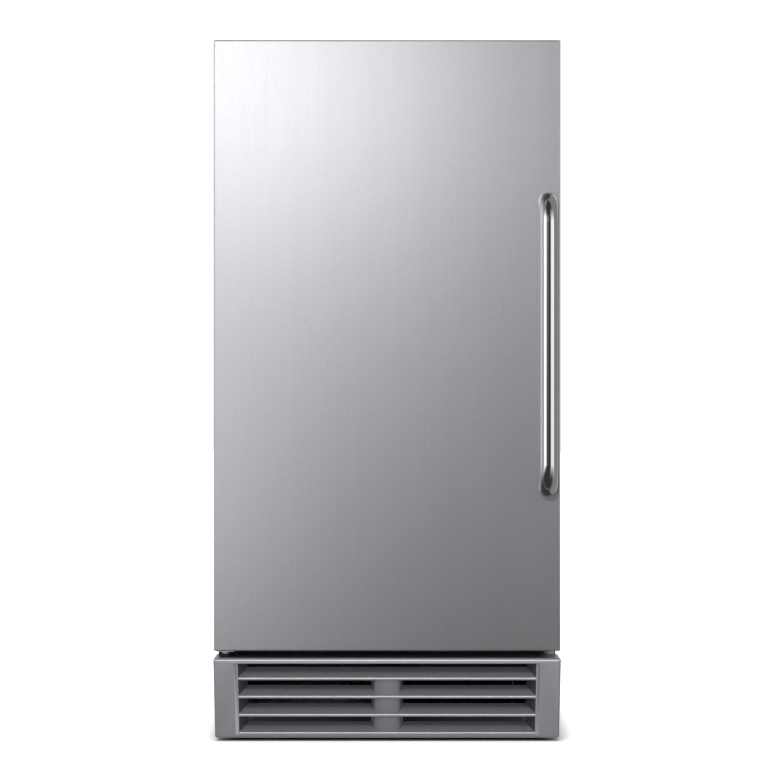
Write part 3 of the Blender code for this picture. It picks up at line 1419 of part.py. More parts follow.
# Fittings through the rear service cover
def inlet_valve():
    half = VALVE_SIZE / 2
    front = INSIDE_BACK - VALVE_LENGTH
    valve = block(
        "inlet_valve",
        at(VALVE_X - half, front, VALVE_Z - half),
        at(VALVE_X + half, INSIDE_BACK, VALVE_Z + half),
        WHITE_PLASTIC,
    )
    outer_end = CABINET_BACK + PORT_REACH
    coil_depth = front + VALVE_LENGTH / 2
    coil_bottom = VALVE_Z + half
    join(
        valve,
        rod_mesh(
            VALVE_PORT_DIAMETER,
            at(VALVE_X, INSIDE_BACK - CUT_OVERRUN, VALVE_Z),
            at(VALVE_X, outer_end, VALVE_Z),
            FINE_SIDES,
        ),
        rod_mesh(
            VALVE_COIL_DIAMETER,
            at(VALVE_X, coil_depth, coil_bottom - CUT_OVERRUN),
            at(VALVE_X, coil_depth, coil_bottom + VALVE_COIL_HEIGHT),
        ),
    )
    cut(
        valve,
        rod_mesh(
            VALVE_PORT_BORE,
            at(VALVE_X, outer_end - VALVE_BORE_DEPTH, VALVE_Z),
            at(VALVE_X, outer_end + CUT_OVERRUN, VALVE_Z),
        ),
    )


def drain_fitting():
    outer_end = CABINET_BACK + PORT_REACH
    inner_end = outer_end - DRAIN_LENGTH
    inner = at(DRAIN_X, inner_end, DRAIN_Z)
    drain = new_part(
        "drain_fitting",
        rod_mesh(DRAIN_DIAMETER, inner, at(DRAIN_X, outer_end, DRAIN_Z), FINE_SIDES),
        GREY_PLASTIC,
    )
    join(
        drain,
        rod_mesh(
            DRAIN_FLANGE_DIAMETER,
            at(DRAIN_X, INSIDE_BACK - DRAIN_FLANGE_SHEET, DRAIN_Z),
            at(DRAIN_X, INSIDE_BACK, DRAIN_Z),
            FINE_SIDES,
        ),
    )
    cut(
        drain,
        rod_mesh(
            DRAIN_BORE,
            at(DRAIN_X, inner_end - CUT_OVERRUN, DRAIN_Z),
            at(DRAIN_X, outer_end + CUT_OVERRUN, DRAIN_Z),
        ),
    )


def power_inlet():
    flange_front = CABINET_BACK + SEAT_GAP
    flange_back = flange_front + POWER_FLANGE_SHEET
    body_front = flange_back - POWER_LENGTH
    half_width = POWER_WIDTH / 2
    half_height = POWER_HEIGHT / 2
    inlet = block(
        "power_inlet",
        at(POWER_X - half_width, body_front, POWER_Z - half_height),
        at(POWER_X + half_width, flange_back, POWER_Z + half_height),
        BLACK_PLASTIC,
    )
    join(
        inlet,
        box_mesh(
            at(POWER_X - POWER_FLANGE_WIDTH / 2, flange_front, POWER_Z - POWER_FLANGE_HEIGHT / 2),
            at(POWER_X + POWER_FLANGE_WIDTH / 2, flange_back, POWER_Z + POWER_FLANGE_HEIGHT / 2),
        ),
    )
    wide = half_width - POWER_WALL
    high = half_height - POWER_WALL
    cut(
        inlet,
        box_mesh(
            at(POWER_X - wide, body_front + POWER_WALL, POWER_Z - high),
            at(POWER_X + wide, flange_back + CUT_OVERRUN, POWER_Z + high),
        ),
    )
    blade_back = body_front + POWER_WALL + POWER_BLADE_LENGTH
    blade_bottom = POWER_Z - POWER_BLADE_SHEET / 2
    corners = []
    for number in (-1, 0, 1):
        left = POWER_X + number * POWER_BLADE_PITCH - POWER_BLADE_WIDTH / 2
        corners.append(at(left, body_front + POWER_WALL / 2, blade_bottom))
        corners.append(at(left + POWER_BLADE_WIDTH, blade_back, blade_bottom + POWER_BLADE_SHEET))
    join(inlet, box_mesh(*corners))


# Evaporator between two cheek plates on the bin's back wall
def evaporator_grid():
    grid = block(
        "evaporator_grid",
        at(-EVAPORATOR_HALF, EVAPORATOR_FRONT, EVAPORATOR_BOTTOM),
        at(EVAPORATOR_HALF, EVAPORATOR_BACK, EVAPORATOR_TOP),
        POLISHED_STEEL,
    )
    pitch_x = EVAPORATOR_WIDTH / CELL_COLUMNS
    pitch_z = EVAPORATOR_HEIGHT / CELL_ROWS
    corners = []
    for column in range(CELL_COLUMNS):
        for row in range(CELL_ROWS):
            left = column * pitch_x - EVAPORATOR_HALF + CELL_WALL / 2
            bottom = EVAPORATOR_BOTTOM + row * pitch_z + CELL_WALL / 2
            corners.append(at(left, EVAPORATOR_FRONT - CUT_OVERRUN, bottom))
            corners.append(
                at(left + pitch_x - CELL_WALL, EVAPORATOR_FRONT + CELL_DEPTH, bottom + pitch_z - CELL_WALL)
            )
    cut(grid, box_mesh(*corners))


def evaporator_tube():
    radius = EVAPORATOR_TUBE_DIAMETER / 2
    depth = EVAPORATOR_BACK + SEAT_GAP + radius
    end_x = EVAPORATOR_HALF - EVAPORATOR_TUBE_INSET
    pitch = EVAPORATOR_HEIGHT / EVAPORATOR_TUBE_PASSES
    wall = BIN_BACK - SEAT_GAP
    top = EVAPORATOR_TOP - pitch / 2
    corners = [at(-end_x, wall, top)]
    side = -1
    for number in range(EVAPORATOR_TUBE_PASSES):
        z = top - number * pitch
        corners.append(at(side * end_x, depth, z))
        side = -side
        corners.append(at(side * end_x, depth, z))
    corners.append(at(side * end_x, wall, top - (EVAPORATOR_TUBE_PASSES - 1) * pitch))
    bend = min(LINE_BEND, pitch * LINE_PORT_HEIGHT_SHARE)
    tube("evaporator_tube", bent_path(corners, bend, BEND_STEPS // 2), EVAPORATOR_TUBE_DIAMETER, COPPER)


def cheek_plates():
    bottom = TROUGH_TOP + SEAT_GAP
    top = EVAPORATOR_TOP + CHEEK_TOP_RISE
    for name, side in (("evaporator_cheek_left", -1), ("evaporator_cheek_right", 1)):
        low_x, high_x = sorted((side * CHEEK_INNER, side * CHEEK_OUTER))
        cheek = block(
            name,
            at(low_x, EVAPORATOR_FRONT - CHEEK_REACH, bottom),
            at(high_x, BIN_BACK - SEAT_GAP, top),
            WHITE_PLASTIC,
        )
        cut(
            cheek,
            rod_mesh(
                CURTAIN_PIN_DIAMETER + 2 * PIN_CLEARANCE,
                at(low_x - CUT_OVERRUN, CURTAIN_DEPTH, CURTAIN_PIN_Z),
                at(high_x + CUT_OVERRUN, CURTAIN_DEPTH, CURTAIN_PIN_Z),
            ),
        )
        if side > 0:
            cut(
                cheek,
                rod_mesh(
                    SPIGOT_DIAMETER + 2 * PIN_CLEARANCE,
                    at(low_x - CUT_OVERRUN, EVAPORATOR_MIDDLE, DISTRIBUTOR_Z),
                    at(high_x + CUT_OVERRUN, EVAPORATOR_MIDDLE, DISTRIBUTOR_Z),
                ),
            )


def water_distributor():
    body = rod_mesh(
        DISTRIBUTOR_DIAMETER,
        at(-EVAPORATOR_HALF, EVAPORATOR_MIDDLE, DISTRIBUTOR_Z),
        at(EVAPORATOR_HALF, EVAPORATOR_MIDDLE, DISTRIBUTOR_Z),
    )
    distributor = new_part("water_distributor", body, WHITE_PLASTIC)
    join(
        distributor,
        rod_mesh(
            SPIGOT_DIAMETER,
            at(EVAPORATOR_HALF - SPIGOT_REACH, EVAPORATOR_MIDDLE, DISTRIBUTOR_Z),
            at(EVAPORATOR_HALF + SPIGOT_REACH, EVAPORATOR_MIDDLE, DISTRIBUTOR_Z),
        ),
    )
    holes = bmesh.new()
    pitch = EVAPORATOR_WIDTH / SPRAY_HOLE_COUNT
    lowest = DISTRIBUTOR_Z - DISTRIBUTOR_DIAMETER / 2
    for number in range(SPRAY_HOLE_COUNT):
        x = pitch / 2 - EVAPORATOR_HALF + number * pitch
        add_rod(
            holes,
            SPRAY_HOLE_DIAMETER / 2,
            at(x, EVAPORATOR_MIDDLE - SPRAY_HOLE_FORWARD, lowest - CUT_OVERRUN),
            at(x, EVAPORATOR_MIDDLE - SPRAY_HOLE_FORWARD, lowest + SPRAY_HOLE_DEPTH),
            SMALL_SIDES,
        )
    cut(distributor, finished_mesh("spray_holes", holes))


def ice_curtain():
    half = EVAPORATOR_HALF - CURTAIN_SIDE_CLEARANCE
    front = CURTAIN_DEPTH - CURTAIN_SHEET / 2
    curtain = block(
        "ice_curtain",
        at(-half, front, EVAPORATOR_BOTTOM - CURTAIN_OVERLAP),
        at(half, front + CURTAIN_SHEET, CURTAIN_PIN_Z + CURTAIN_TOP_MARGIN),
        CLEAR_PLASTIC,
    )
    join(
        curtain,
        rod_mesh(
            CURTAIN_PIN_DIAMETER,
            at(-CHEEK_OUTER, CURTAIN_DEPTH, CURTAIN_PIN_Z),
            at(CHEEK_OUTER, CURTAIN_DEPTH, CURTAIN_PIN_Z),
        ),
    )
    pivot("curtain_axis", at(0.0, CURTAIN_DEPTH, CURTAIN_PIN_Z), [curtain])


# Water trough with its float, pump and hose
def water_trough():
    half = CHEEK_OUTER
    back = TROUGH_FRONT + TROUGH_DEPTH
    trough = block(
        "water_trough", at(-half, TROUGH_FRONT, TROUGH_BOTTOM), at(half, back, TROUGH_TOP), WHITE_PLASTIC
    )
    cut(
        trough,
        box_mesh(
            at(TROUGH_WALL - half, TROUGH_FRONT + TROUGH_WALL, TROUGH_BOTTOM + TROUGH_WALL),
            at(half - TROUGH_WALL, back - TROUGH_WALL, TROUGH_TOP + CUT_OVERRUN),
        ),
    )
    stem_top = TROUGH_TOP - STEM_TOP_DROP
    join(
        trough,
        rod_mesh(
            STEM_DIAMETER,
            at(STEM_X, EVAPORATOR_MIDDLE, TROUGH_BOTTOM + TROUGH_WALL / 2),
            at(STEM_X, EVAPORATOR_MIDDLE, stem_top),
        ),
        rod_mesh(
            STEM_CAP_DIAMETER,
            at(STEM_X, EVAPORATOR_MIDDLE, stem_top - STEM_CAP_HEIGHT),
            at(STEM_X, EVAPORATOR_MIDDLE, stem_top),
        ),
    )


def water_float():
    bottom = TROUGH_BOTTOM + TROUGH_WALL + SEAT_GAP
    ring = rod_mesh(
        FLOAT_DIAMETER,
        at(STEM_X, EVAPORATOR_MIDDLE, bottom),
        at(STEM_X, EVAPORATOR_MIDDLE, bottom + FLOAT_HEIGHT),
        FINE_SIDES,
    )
    floater = new_part("water_float", ring, WHITE_PLASTIC)
    cut(
        floater,
        rod_mesh(
            STEM_DIAMETER + 2 * FLOAT_CLEARANCE,
            at(STEM_X, EVAPORATOR_MIDDLE, bottom - CUT_OVERRUN),
            at(STEM_X, EVAPORATOR_MIDDLE, bottom + FLOAT_HEIGHT + CUT_OVERRUN),
        ),
    )
    pivot("float_axis", at(STEM_X, EVAPORATOR_MIDDLE, bottom), [floater])


def water_pump():
    housing_top = PUMP_BOTTOM + PUMP_HOUSING_HEIGHT
    housing = rod_mesh(
        PUMP_HOUSING_DIAMETER,
        at(PUMP_X, EVAPORATOR_MIDDLE, PUMP_BOTTOM),
        at(PUMP_X, EVAPORATOR_MIDDLE, housing_top),
        FINE_SIDES,
    )
    pump = new_part("water_pump", housing, BLACK_PLASTIC)
    outlet_z = PUMP_BOTTOM + PUMP_HOUSING_HEIGHT / 2
    outlet_back = EVAPORATOR_MIDDLE + PUMP_HOUSING_DIAMETER / 2 + PUMP_OUTLET_REACH
    join(
        pump,
        rod_mesh(
            PUMP_MOTOR_DIAMETER,
            at(PUMP_X, EVAPORATOR_MIDDLE, housing_top - CUT_OVERRUN),
            at(PUMP_X, EVAPORATOR_MIDDLE, housing_top + PUMP_MOTOR_HEIGHT),
            FINE_SIDES,
        ),
        rod_mesh(
            SPIGOT_DIAMETER,
            at(PUMP_X, EVAPORATOR_MIDDLE, outlet_z),
            at(PUMP_X, outlet_back, outlet_z),
        ),
    )
    hose_start = outlet_back + SEAT_GAP
    hose_back = hose_start + HOSE_BACK_RUN
    hose_end = EVAPORATOR_HALF + SPIGOT_REACH + SEAT_GAP
    tube(
        "pump_hose",
        bent_path(
            [
                at(PUMP_X, hose_start, outlet_z),
                at(PUMP_X, hose_back, outlet_z),
                at(PUMP_X, hose_back, DISTRIBUTOR_Z),
                at(PUMP_X, EVAPORATOR_MIDDLE, DISTRIBUTOR_Z),
                at(hose_end, EVAPORATOR_MIDDLE, DISTRIBUTOR_Z),
            ],
            HOSE_BEND,
        ),
        HOSE_DIAMETER,
        CLEAR_PLASTIC,
    )


# Bin fittings: control housing with rocker and lens, thermostat probe, scoop on its hook
def control_housing():
    front = CONTROL_FRONT
    housing = block(
        "control_housing",
        at(-CONTROL_WIDTH / 2, front, CONTROL_BOTTOM),
        at(CONTROL_WIDTH / 2, front + CONTROL_DEPTH, CONTROL_TOP),
        WHITE_PLASTIC,
    )
    round_edges(housing, CONTROL_BEVEL)
    half_length = ROCKER_LENGTH / 2 + ROCKER_END_CLEARANCE
    half_height = ROCKER_HEIGHT / 2 + SEAT_GAP
    cut(
        housing,
        box_mesh(
            at(ROCKER_X - half_length, front - CUT_OVERRUN, ROCKER_Z - half_height),
            at(ROCKER_X + half_length, front + ROCKER_POCKET_DEPTH, ROCKER_Z + half_height),
        ),
    )


def rocker_switch():
    centre = at(ROCKER_X, CONTROL_FRONT + ROCKER_PIVOT_SINK, ROCKER_Z)
    half = Vector((ROCKER_LENGTH / 2, 0.0, ROCKER_HEIGHT / 2))
    sink = Vector((0.0, ROCKER_SINK - ROCKER_PIVOT_SINK, 0.0))
    proud = Vector((0.0, ROCKER_PROUD + ROCKER_PIVOT_SINK, 0.0))
    mesh = box_mesh(-half - proud, half + sink)
    mesh.transform(Matrix.Rotation(-ROCKER_TILT, 4, "Z"))
    rocker = new_part("rocker_switch", mesh, BLACK_PLASTIC)
    rocker.location = centre


def light_lens():
    depth = CONTROL_FRONT + CONTROL_DEPTH / 2
    top = CONTROL_BOTTOM - SEAT_GAP
    lens = block(
        "light_lens",
        at(-LENS_WIDTH / 2, depth - LENS_DEPTH / 2, top - LENS_HEIGHT),
        at(LENS_WIDTH / 2, depth + LENS_DEPTH / 2, top),
        CLEAR_PLASTIC,
    )
    round_edges(lens, LENS_BEVEL)


def bin_thermostat_probe():
    wall = SEAT_GAP - BIN_HALF
    start = CABINET_FRONT + PROBE_FRONT
    axis_x = wall + PROBE_STANDOFF
    middle = start + PROBE_LENGTH / 2
    rod = rod_mesh(PROBE_DIAMETER, at(axis_x, start, PROBE_Z), at(axis_x, start + PROBE_LENGTH, PROBE_Z))
    probe = new_part("bin_thermostat_probe", rod, COPPER)
    join(
        probe,
        box_mesh(
            at(wall, middle - PROBE_CLIP / 2, PROBE_Z - PROBE_CLIP / 2),
            at(axis_x + PROBE_DIAMETER, middle + PROBE_CLIP / 2, PROBE_Z + PROBE_CLIP / 2),
        ),
    )


def scoop_and_hook():
    wall = BIN_HALF - SEAT_GAP
    depth = CABINET_FRONT + HOOK_FRONT
    plate_x = wall - HOOK_PLATE_SHEET
    hook = block(
        "scoop_hook",
        at(plate_x, depth - HOOK_PLATE_WIDTH / 2, HOOK_Z - HOOK_PLATE_HEIGHT / 2),
        at(wall, depth + HOOK_PLATE_WIDTH / 2, HOOK_Z + HOOK_PLATE_HEIGHT / 2),
        WHITE_PLASTIC,
    )
    join(
        hook,
        rod_mesh(
            HOOK_PEG_DIAMETER,
            at(plate_x + HOOK_PLATE_SHEET / 2, depth, HOOK_Z),
            at(plate_x - HOOK_PEG_LENGTH, depth, HOOK_Z),
        ),
    )
    back = wall - SCOOP_WALL_GAP
    handle_top = HOOK_Z + SCOOP_HANDLE_MARGIN
    bowl_top = handle_top - SCOOP_HANDLE_LENGTH
    bowl_bottom = bowl_top - SCOOP_HEIGHT
    scoop = block(
        "ice_scoop",
        at(back - SCOOP_THICKNESS, depth - SCOOP_WIDTH / 2, bowl_bottom),
        at(back, depth + SCOOP_WIDTH / 2, bowl_top),
        SCOOP_PLASTIC,
    )
    cut(
        scoop,
        box_mesh(
            at(
                back - SCOOP_THICKNESS - CUT_OVERRUN,
                depth + SCOOP_WALL - SCOOP_WIDTH / 2,
                bowl_bottom - CUT_OVERRUN,
            ),
            at(back - SCOOP_WALL, depth + SCOOP_WIDTH / 2 - SCOOP_WALL, bowl_top - SCOOP_WALL),
        ),
    )
    join(
        scoop,
        box_mesh(
            at(back - SCOOP_HANDLE_SHEET, depth - SCOOP_HANDLE_WIDTH / 2, bowl_top - SCOOP_WALL / 2),
            at(back, depth + SCOOP_HANDLE_WIDTH / 2, handle_top),
        ),
    )
    cut(
        scoop,
        rod_mesh(
            HOOK_PEG_DIAMETER + 2 * PIN_CLEARANCE,
            at(back - SCOOP_HANDLE_SHEET - CUT_OVERRUN, depth, HOOK_Z),
            at(back + CUT_OVERRUN, depth, HOOK_Z),
        ),
    )
    pivot("scoop_axis", at(back, depth, HOOK_Z), [scoop])


def build():
    base_pan()
    front_rail()
    side_panels()
    top_panel()
    rear_panel()
    rear_service_cover()
    bin_liner()
    cabinet_foam()
    toe_grille()
    air_divider()
    hinge_top_plate()
    hinge_bottom_bracket()
    door()
    levelling_legs()
    compressor()
    condenser_coil()
    fan_shroud()
    fan_blade()
    fan_motor()
    filter_drier()
    refrigerant_lines()
    inlet_valve()
    drain_fitting()
    power_inlet()
    evaporator_grid()
    evaporator_tube()
    cheek_plates()
    water_distributor()
    ice_curtain()
    water_trough()
    water_float()
    water_pump()
    control_housing()
    rocker_switch()
    light_lens()
    bin_thermostat_probe()
    scoop_and_hook()


build()
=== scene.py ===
import json
import math

import bmesh
import bpy
from mathutils import Matrix, Vector


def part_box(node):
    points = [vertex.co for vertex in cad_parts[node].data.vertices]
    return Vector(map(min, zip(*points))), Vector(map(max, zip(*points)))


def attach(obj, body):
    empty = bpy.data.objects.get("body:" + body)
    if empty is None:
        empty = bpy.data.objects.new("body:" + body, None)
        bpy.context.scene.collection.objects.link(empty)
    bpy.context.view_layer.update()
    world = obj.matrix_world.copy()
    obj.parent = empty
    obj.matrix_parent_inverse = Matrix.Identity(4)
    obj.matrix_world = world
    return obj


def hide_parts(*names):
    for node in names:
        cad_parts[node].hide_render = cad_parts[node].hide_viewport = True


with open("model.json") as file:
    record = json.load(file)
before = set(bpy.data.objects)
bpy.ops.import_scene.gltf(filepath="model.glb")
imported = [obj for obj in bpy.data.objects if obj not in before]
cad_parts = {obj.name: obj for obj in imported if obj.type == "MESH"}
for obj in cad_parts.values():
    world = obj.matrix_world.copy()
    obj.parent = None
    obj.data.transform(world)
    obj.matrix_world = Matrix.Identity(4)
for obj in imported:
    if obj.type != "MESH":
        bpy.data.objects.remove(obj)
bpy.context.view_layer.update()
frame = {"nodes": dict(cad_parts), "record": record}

# Studio
# A white room with a pale floor. A wide lamp is mirrored up left in the door and a weaker one low down, one
# hangs overhead, and two light the grille and the lower hinge. Only metal sees a ring of cards, dim in front,
# with a tall bright window at each side.
MM = 0.001
PIXEL = 1.2407 * MM
IMAGE = 768
SENSOR = 36.0
LENS_DISTANCE = 3.3
LENS_SIDE = -3.85 * MM
LENS_HEIGHT = 0.4432
DOOR_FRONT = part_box("door_skin")[0][1]
GRILLE_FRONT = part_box("toe_grille")[0][1]
LENS = Vector((LENS_SIDE, DOOR_FRONT - LENS_DISTANCE, LENS_HEIGHT))
GLOW = Vector((-0.232, DOOR_FRONT, 0.845))
LOW_GLOW = Vector((-0.396, DOOR_FRONT, 0.317))
AMBIENT = 0.55


class Value:
    """One output of a node tree, so that sums on it read as plain arithmetic."""

    def __init__(self, tree, socket):
        self.tree = tree
        self.socket = socket

    def sum(self, operation, *terms):
        node = self.tree.nodes.new("ShaderNodeMath")
        node.operation = operation
        for slot, term in zip(node.inputs, terms):
            fill(self.tree, slot, term)
        return Value(self.tree, node.outputs[0])

    def __add__(self, other):
        return self.sum("ADD", self, other)

    def __sub__(self, other):
        return self.sum("SUBTRACT", self, other)

    def __rsub__(self, other):
        return self.sum("SUBTRACT", other, self)

    def __mul__(self, other):
        return self.sum("MULTIPLY", self, other)

    __radd__ = __add__
    __rmul__ = __mul__


def fill(tree, slot, term):
    if isinstance(term, Value):
        tree.links.new(term.socket, slot)
    elif slot.type == "RGBA":
        slot.default_value = (*term[:3], 1.0)
    else:
        slot.default_value = term


def add_node(tree, kind, settings=None, out=0, **sockets):
    """Any node: its settings first, then its sockets by name, an underscore standing for a space."""
    node = tree.nodes.new(kind)
    for name, value in (settings or {}).items():
        setattr(node, name, value)
    for name, term in sockets.items():
        fill(tree, node.inputs[name.replace("_", " ")], term)
    return Value(tree, node.outputs[out])


def eased(value, start, end):
    """0 at start, 1 at end, eased between and level beyond."""
    node = value.tree.nodes.new("ShaderNodeMapRange")
    node.interpolation_type = "SMOOTHSTEP"
    low, high, first, last = (start, end, 0.0, 1.0) if start < end else (end, start, 1.0, 0.0)
    for slot, term in zip(node.inputs, (value, low, high, first, last)):
        fill(value.tree, slot, term)
    return Value(value.tree, node.outputs[0])


def axes_of(tree, place):
    node = tree.nodes.new("ShaderNodeSeparateXYZ")
    tree.links.new(place.socket, node.inputs[0])
    return [Value(tree, output) for output in node.outputs]


def seen_by_lens(tree):
    """1 for rays that show the background: from the lens, off metal or through glass."""
    path = tree.nodes.new("ShaderNodeLightPath")
    rays = [Value(tree, path.outputs[f"Is {name} Ray"]) for name in ("Camera", "Glossy", "Transmission")]
    return rays[0].sum("MAXIMUM", rays[0].sum("MAXIMUM", rays[0], rays[1]), rays[2])


def mesh_of(work, name):
    """The finished mesh of a bmesh, which is let go."""
    mesh = bpy.data.meshes.new(name)
    work.to_mesh(mesh)
    work.free()
    return mesh


def put_in_scene(name, data):
    thing = bpy.data.objects.new(name, data)
    bpy.context.scene.collection.objects.link(thing)
    return thing


def stage_mesh(name, mesh, look):
    mesh.materials.append(look)
    piece = put_in_scene(name, mesh)
    return piece


def make_camera():
    data = bpy.data.cameras.new("camera")
    data.sensor_width = SENSOR
    data.lens = SENSOR * LENS_DISTANCE / (IMAGE * PIXEL)
    camera = put_in_scene("camera", data)
    camera.location = LENS
    camera.rotation_euler = (math.pi / 2, 0.0, 0.0)
    bpy.context.scene.camera = camera


def make_world():
    world = bpy.data.worlds.new("studio")
    world.use_nodes = True
    tree = world.node_tree
    seen = seen_by_lens(tree)
    background = tree.nodes["Background"]
    fill(tree, background.inputs["Color"], (1.0, 1.0, 1.0))
    fill(tree, background.inputs["Strength"], seen + (1 - seen) * AMBIENT)
    bpy.context.scene.world = world


FLOOR_RADIUS = 14.0
FLOOR_TONE = 0.88
FLOOR_GLOW = 0.9
FLOOR_SHADE_UNDER_MACHINE = 0.14
UNDER_SIDE = 0.205
UNDER_DEPTH = 0.25


def make_floor():
    """Pale and matt, and white to the lens away from the machine, whose shadow it keeps; its colour is
    painted shade under the machine.
    """
    look = bpy.data.materials.new("pale_floor")
    look.use_nodes = True
    tree = look.node_tree
    tree.nodes.clear()
    x, y, _ = axes_of(tree, add_node(tree, "ShaderNodeTexCoord", out=3))
    apart = x.sum("MAXIMUM", x.sum("ABSOLUTE", x) - UNDER_SIDE, y.sum("ABSOLUTE", y) - UNDER_DEPTH)
    # Painted shade: the floor colour turns dark inside the machine's footprint.
    pale = eased(apart, -0.03, 0.0) * (FLOOR_TONE - FLOOR_SHADE_UNDER_MACHINE) + FLOOR_SHADE_UNDER_MACHINE
    tone = add_node(tree, "ShaderNodeCombineColor", Red=pale, Green=pale, Blue=pale)
    matt = add_node(tree, "ShaderNodeBsdfDiffuse", Color=tone)
    white = seen_by_lens(tree) * eased(apart, 0.0, 0.05) * FLOOR_GLOW
    glow = add_node(tree, "ShaderNodeEmission", Strength=white)
    both = tree.nodes.new("ShaderNodeAddShader")
    fill(tree, both.inputs[0], matt)
    fill(tree, both.inputs[1], glow)
    output = tree.nodes.new("ShaderNodeOutputMaterial")
    tree.links.new(both.outputs[0], output.inputs["Surface"])
    work = bmesh.new()
    bmesh.ops.create_circle(work, cap_ends=True, segments=64, radius=FLOOR_RADIUS)
    stage_mesh("floor", mesh_of(work, "floor"), look)


FRONT_CARD = 0.042
UPPER_LEFT_CARD = 0.263
SIDE_CARD = 0.22
REAR_CARD = 0.5
LEFT_WINDOW = 1.3
RIGHT_WINDOW = 1.15


def card_level(turn, rise):
    """How bright the ring is, by the turn from the front and the rise over the lens, in degrees."""
    aside = turn.sum("ABSOLUTE", turn)
    lift = eased(turn, 6, -20) * eased(rise, -10, 18) * eased(rise, 40, 25)
    left = eased(turn, -31, -36) * eased(turn, -73, -67)
    right = eased(turn, 17, 22) * eased(turn, 62, 54)
    windows = (left * LEFT_WINDOW + right * RIGHT_WINDOW) * eased(rise, -38, 8) * eased(rise, 58, 6)
    level = FRONT_CARD + lift * UPPER_LEFT_CARD + eased(aside, 35, 62) * SIDE_CARD
    return level + eased(aside, 140, 160) * REAR_CARD + windows


RING_RADIUS = 4.6
RING_HEIGHT = 2.3
RING_HOLE = 0.04
RING_LIFT = 0.005
RING_END = 164
RING_STEP = 4


def make_cards():
    """A ring of cards that only metal sees: a cloth on the floor, a wall and a canopy, open at the back."""
    look = bpy.data.materials.new("cards")
    look.use_nodes = True
    tree = look.node_tree
    tree.nodes.clear()
    x, y, z = axes_of(tree, add_node(tree, "ShaderNodeTexCoord", out=3))
    turn = x.sum("DEGREES", x.sum("ARCTAN2", x, 0 - y))
    reach = x.sum("SQRT", x * x + y * y)
    rise = x.sum("DEGREES", x.sum("ARCTAN2", z - LENS.z, reach))
    glow = add_node(tree, "ShaderNodeEmission", Strength=card_level(turn, rise))
    output = tree.nodes.new("ShaderNodeOutputMaterial")
    fill(tree, output.inputs["Surface"], glow)
    work = bmesh.new()
    cloth = ((RING_HOLE, RING_LIFT), (RING_RADIUS, RING_LIFT))
    profile = (*cloth, (RING_RADIUS, RING_HEIGHT), (RING_HOLE, RING_HEIGHT))
    rings = []
    for degrees in range(-RING_END, RING_END + 1, RING_STEP):
        across, ahead = math.sin(math.radians(degrees)), -math.cos(math.radians(degrees))
        rings.append([work.verts.new((r * across, r * ahead, height)) for r, height in profile])
    for ring, following in zip(rings, rings[1:]):
        for index in range(len(profile) - 1):
            work.faces.new((ring[index], ring[index + 1], following[index + 1], following[index]))
    cards = stage_mesh("cards", mesh_of(work, "cards"), look)
    for kind in ("camera", "diffuse", "transmission", "volume_scatter", "shadow"):
        setattr(cards, f"visible_{kind}", False)


def make_lamp(name, place, target, size, radiance):
    data = bpy.data.lights.new(name, "AREA")
    data.shape = "RECTANGLE"
    data.size, data.size_y = size
    data.energy = radiance * math.pi * size[0] * size[1]
    lamp = put_in_scene(name, data)
    lamp.location = place
    lamp.rotation_euler = (Vector(target) - Vector(place)).to_track_quat("-Z", "Y").to_euler()
    lamp.visible_camera = False
    return lamp


def mirrored(spot):
    """Where a lamp stands that the lens sees mirrored in the door at this spot."""
    return (2 * spot.x - LENS.x, LENS.y, 2 * spot.z - LENS.z)


bpy.context.scene.view_settings.view_transform = "Standard"
make_camera()
make_world()
make_floor()
make_cards()
OVERHEAD = (-0.3, -1.35, 2.5)
OVERHEAD_AIM = (0.0, -0.2, 0.1)
OVER_GRILLE = (0.0, -1.45, 1.35)
BEFORE_GRILLE = (0.0, -2.8, 0.5)
GRILLE_MIDDLE = 0.06
glow_lamp = make_lamp("glow_lamp", mirrored(GLOW), GLOW, size=(0.886, 0.128), radiance=30.4)
glow_lamp.data.color = (1.0, 0.99, 0.965)
overhead_lamp = make_lamp("overhead_lamp", OVERHEAD, OVERHEAD_AIM, size=(1.8, 1.0), radiance=8.0)
low_lamp = make_lamp("low_lamp", mirrored(LOW_GLOW), LOW_GLOW, size=(0.30, 0.30), radiance=13.8)
grille_spot = (0.0, GRILLE_FRONT, GRILLE_MIDDLE)
lip_lamp = make_lamp("lip_lamp", OVER_GRILLE, grille_spot, size=(0.9, 0.5), radiance=6.3)
grille_spot = (0.0, DOOR_FRONT, GRILLE_MIDDLE)
grille_lamp = make_lamp("grille_lamp", BEFORE_GRILLE, grille_spot, size=(1.2, 0.5), radiance=6.0)


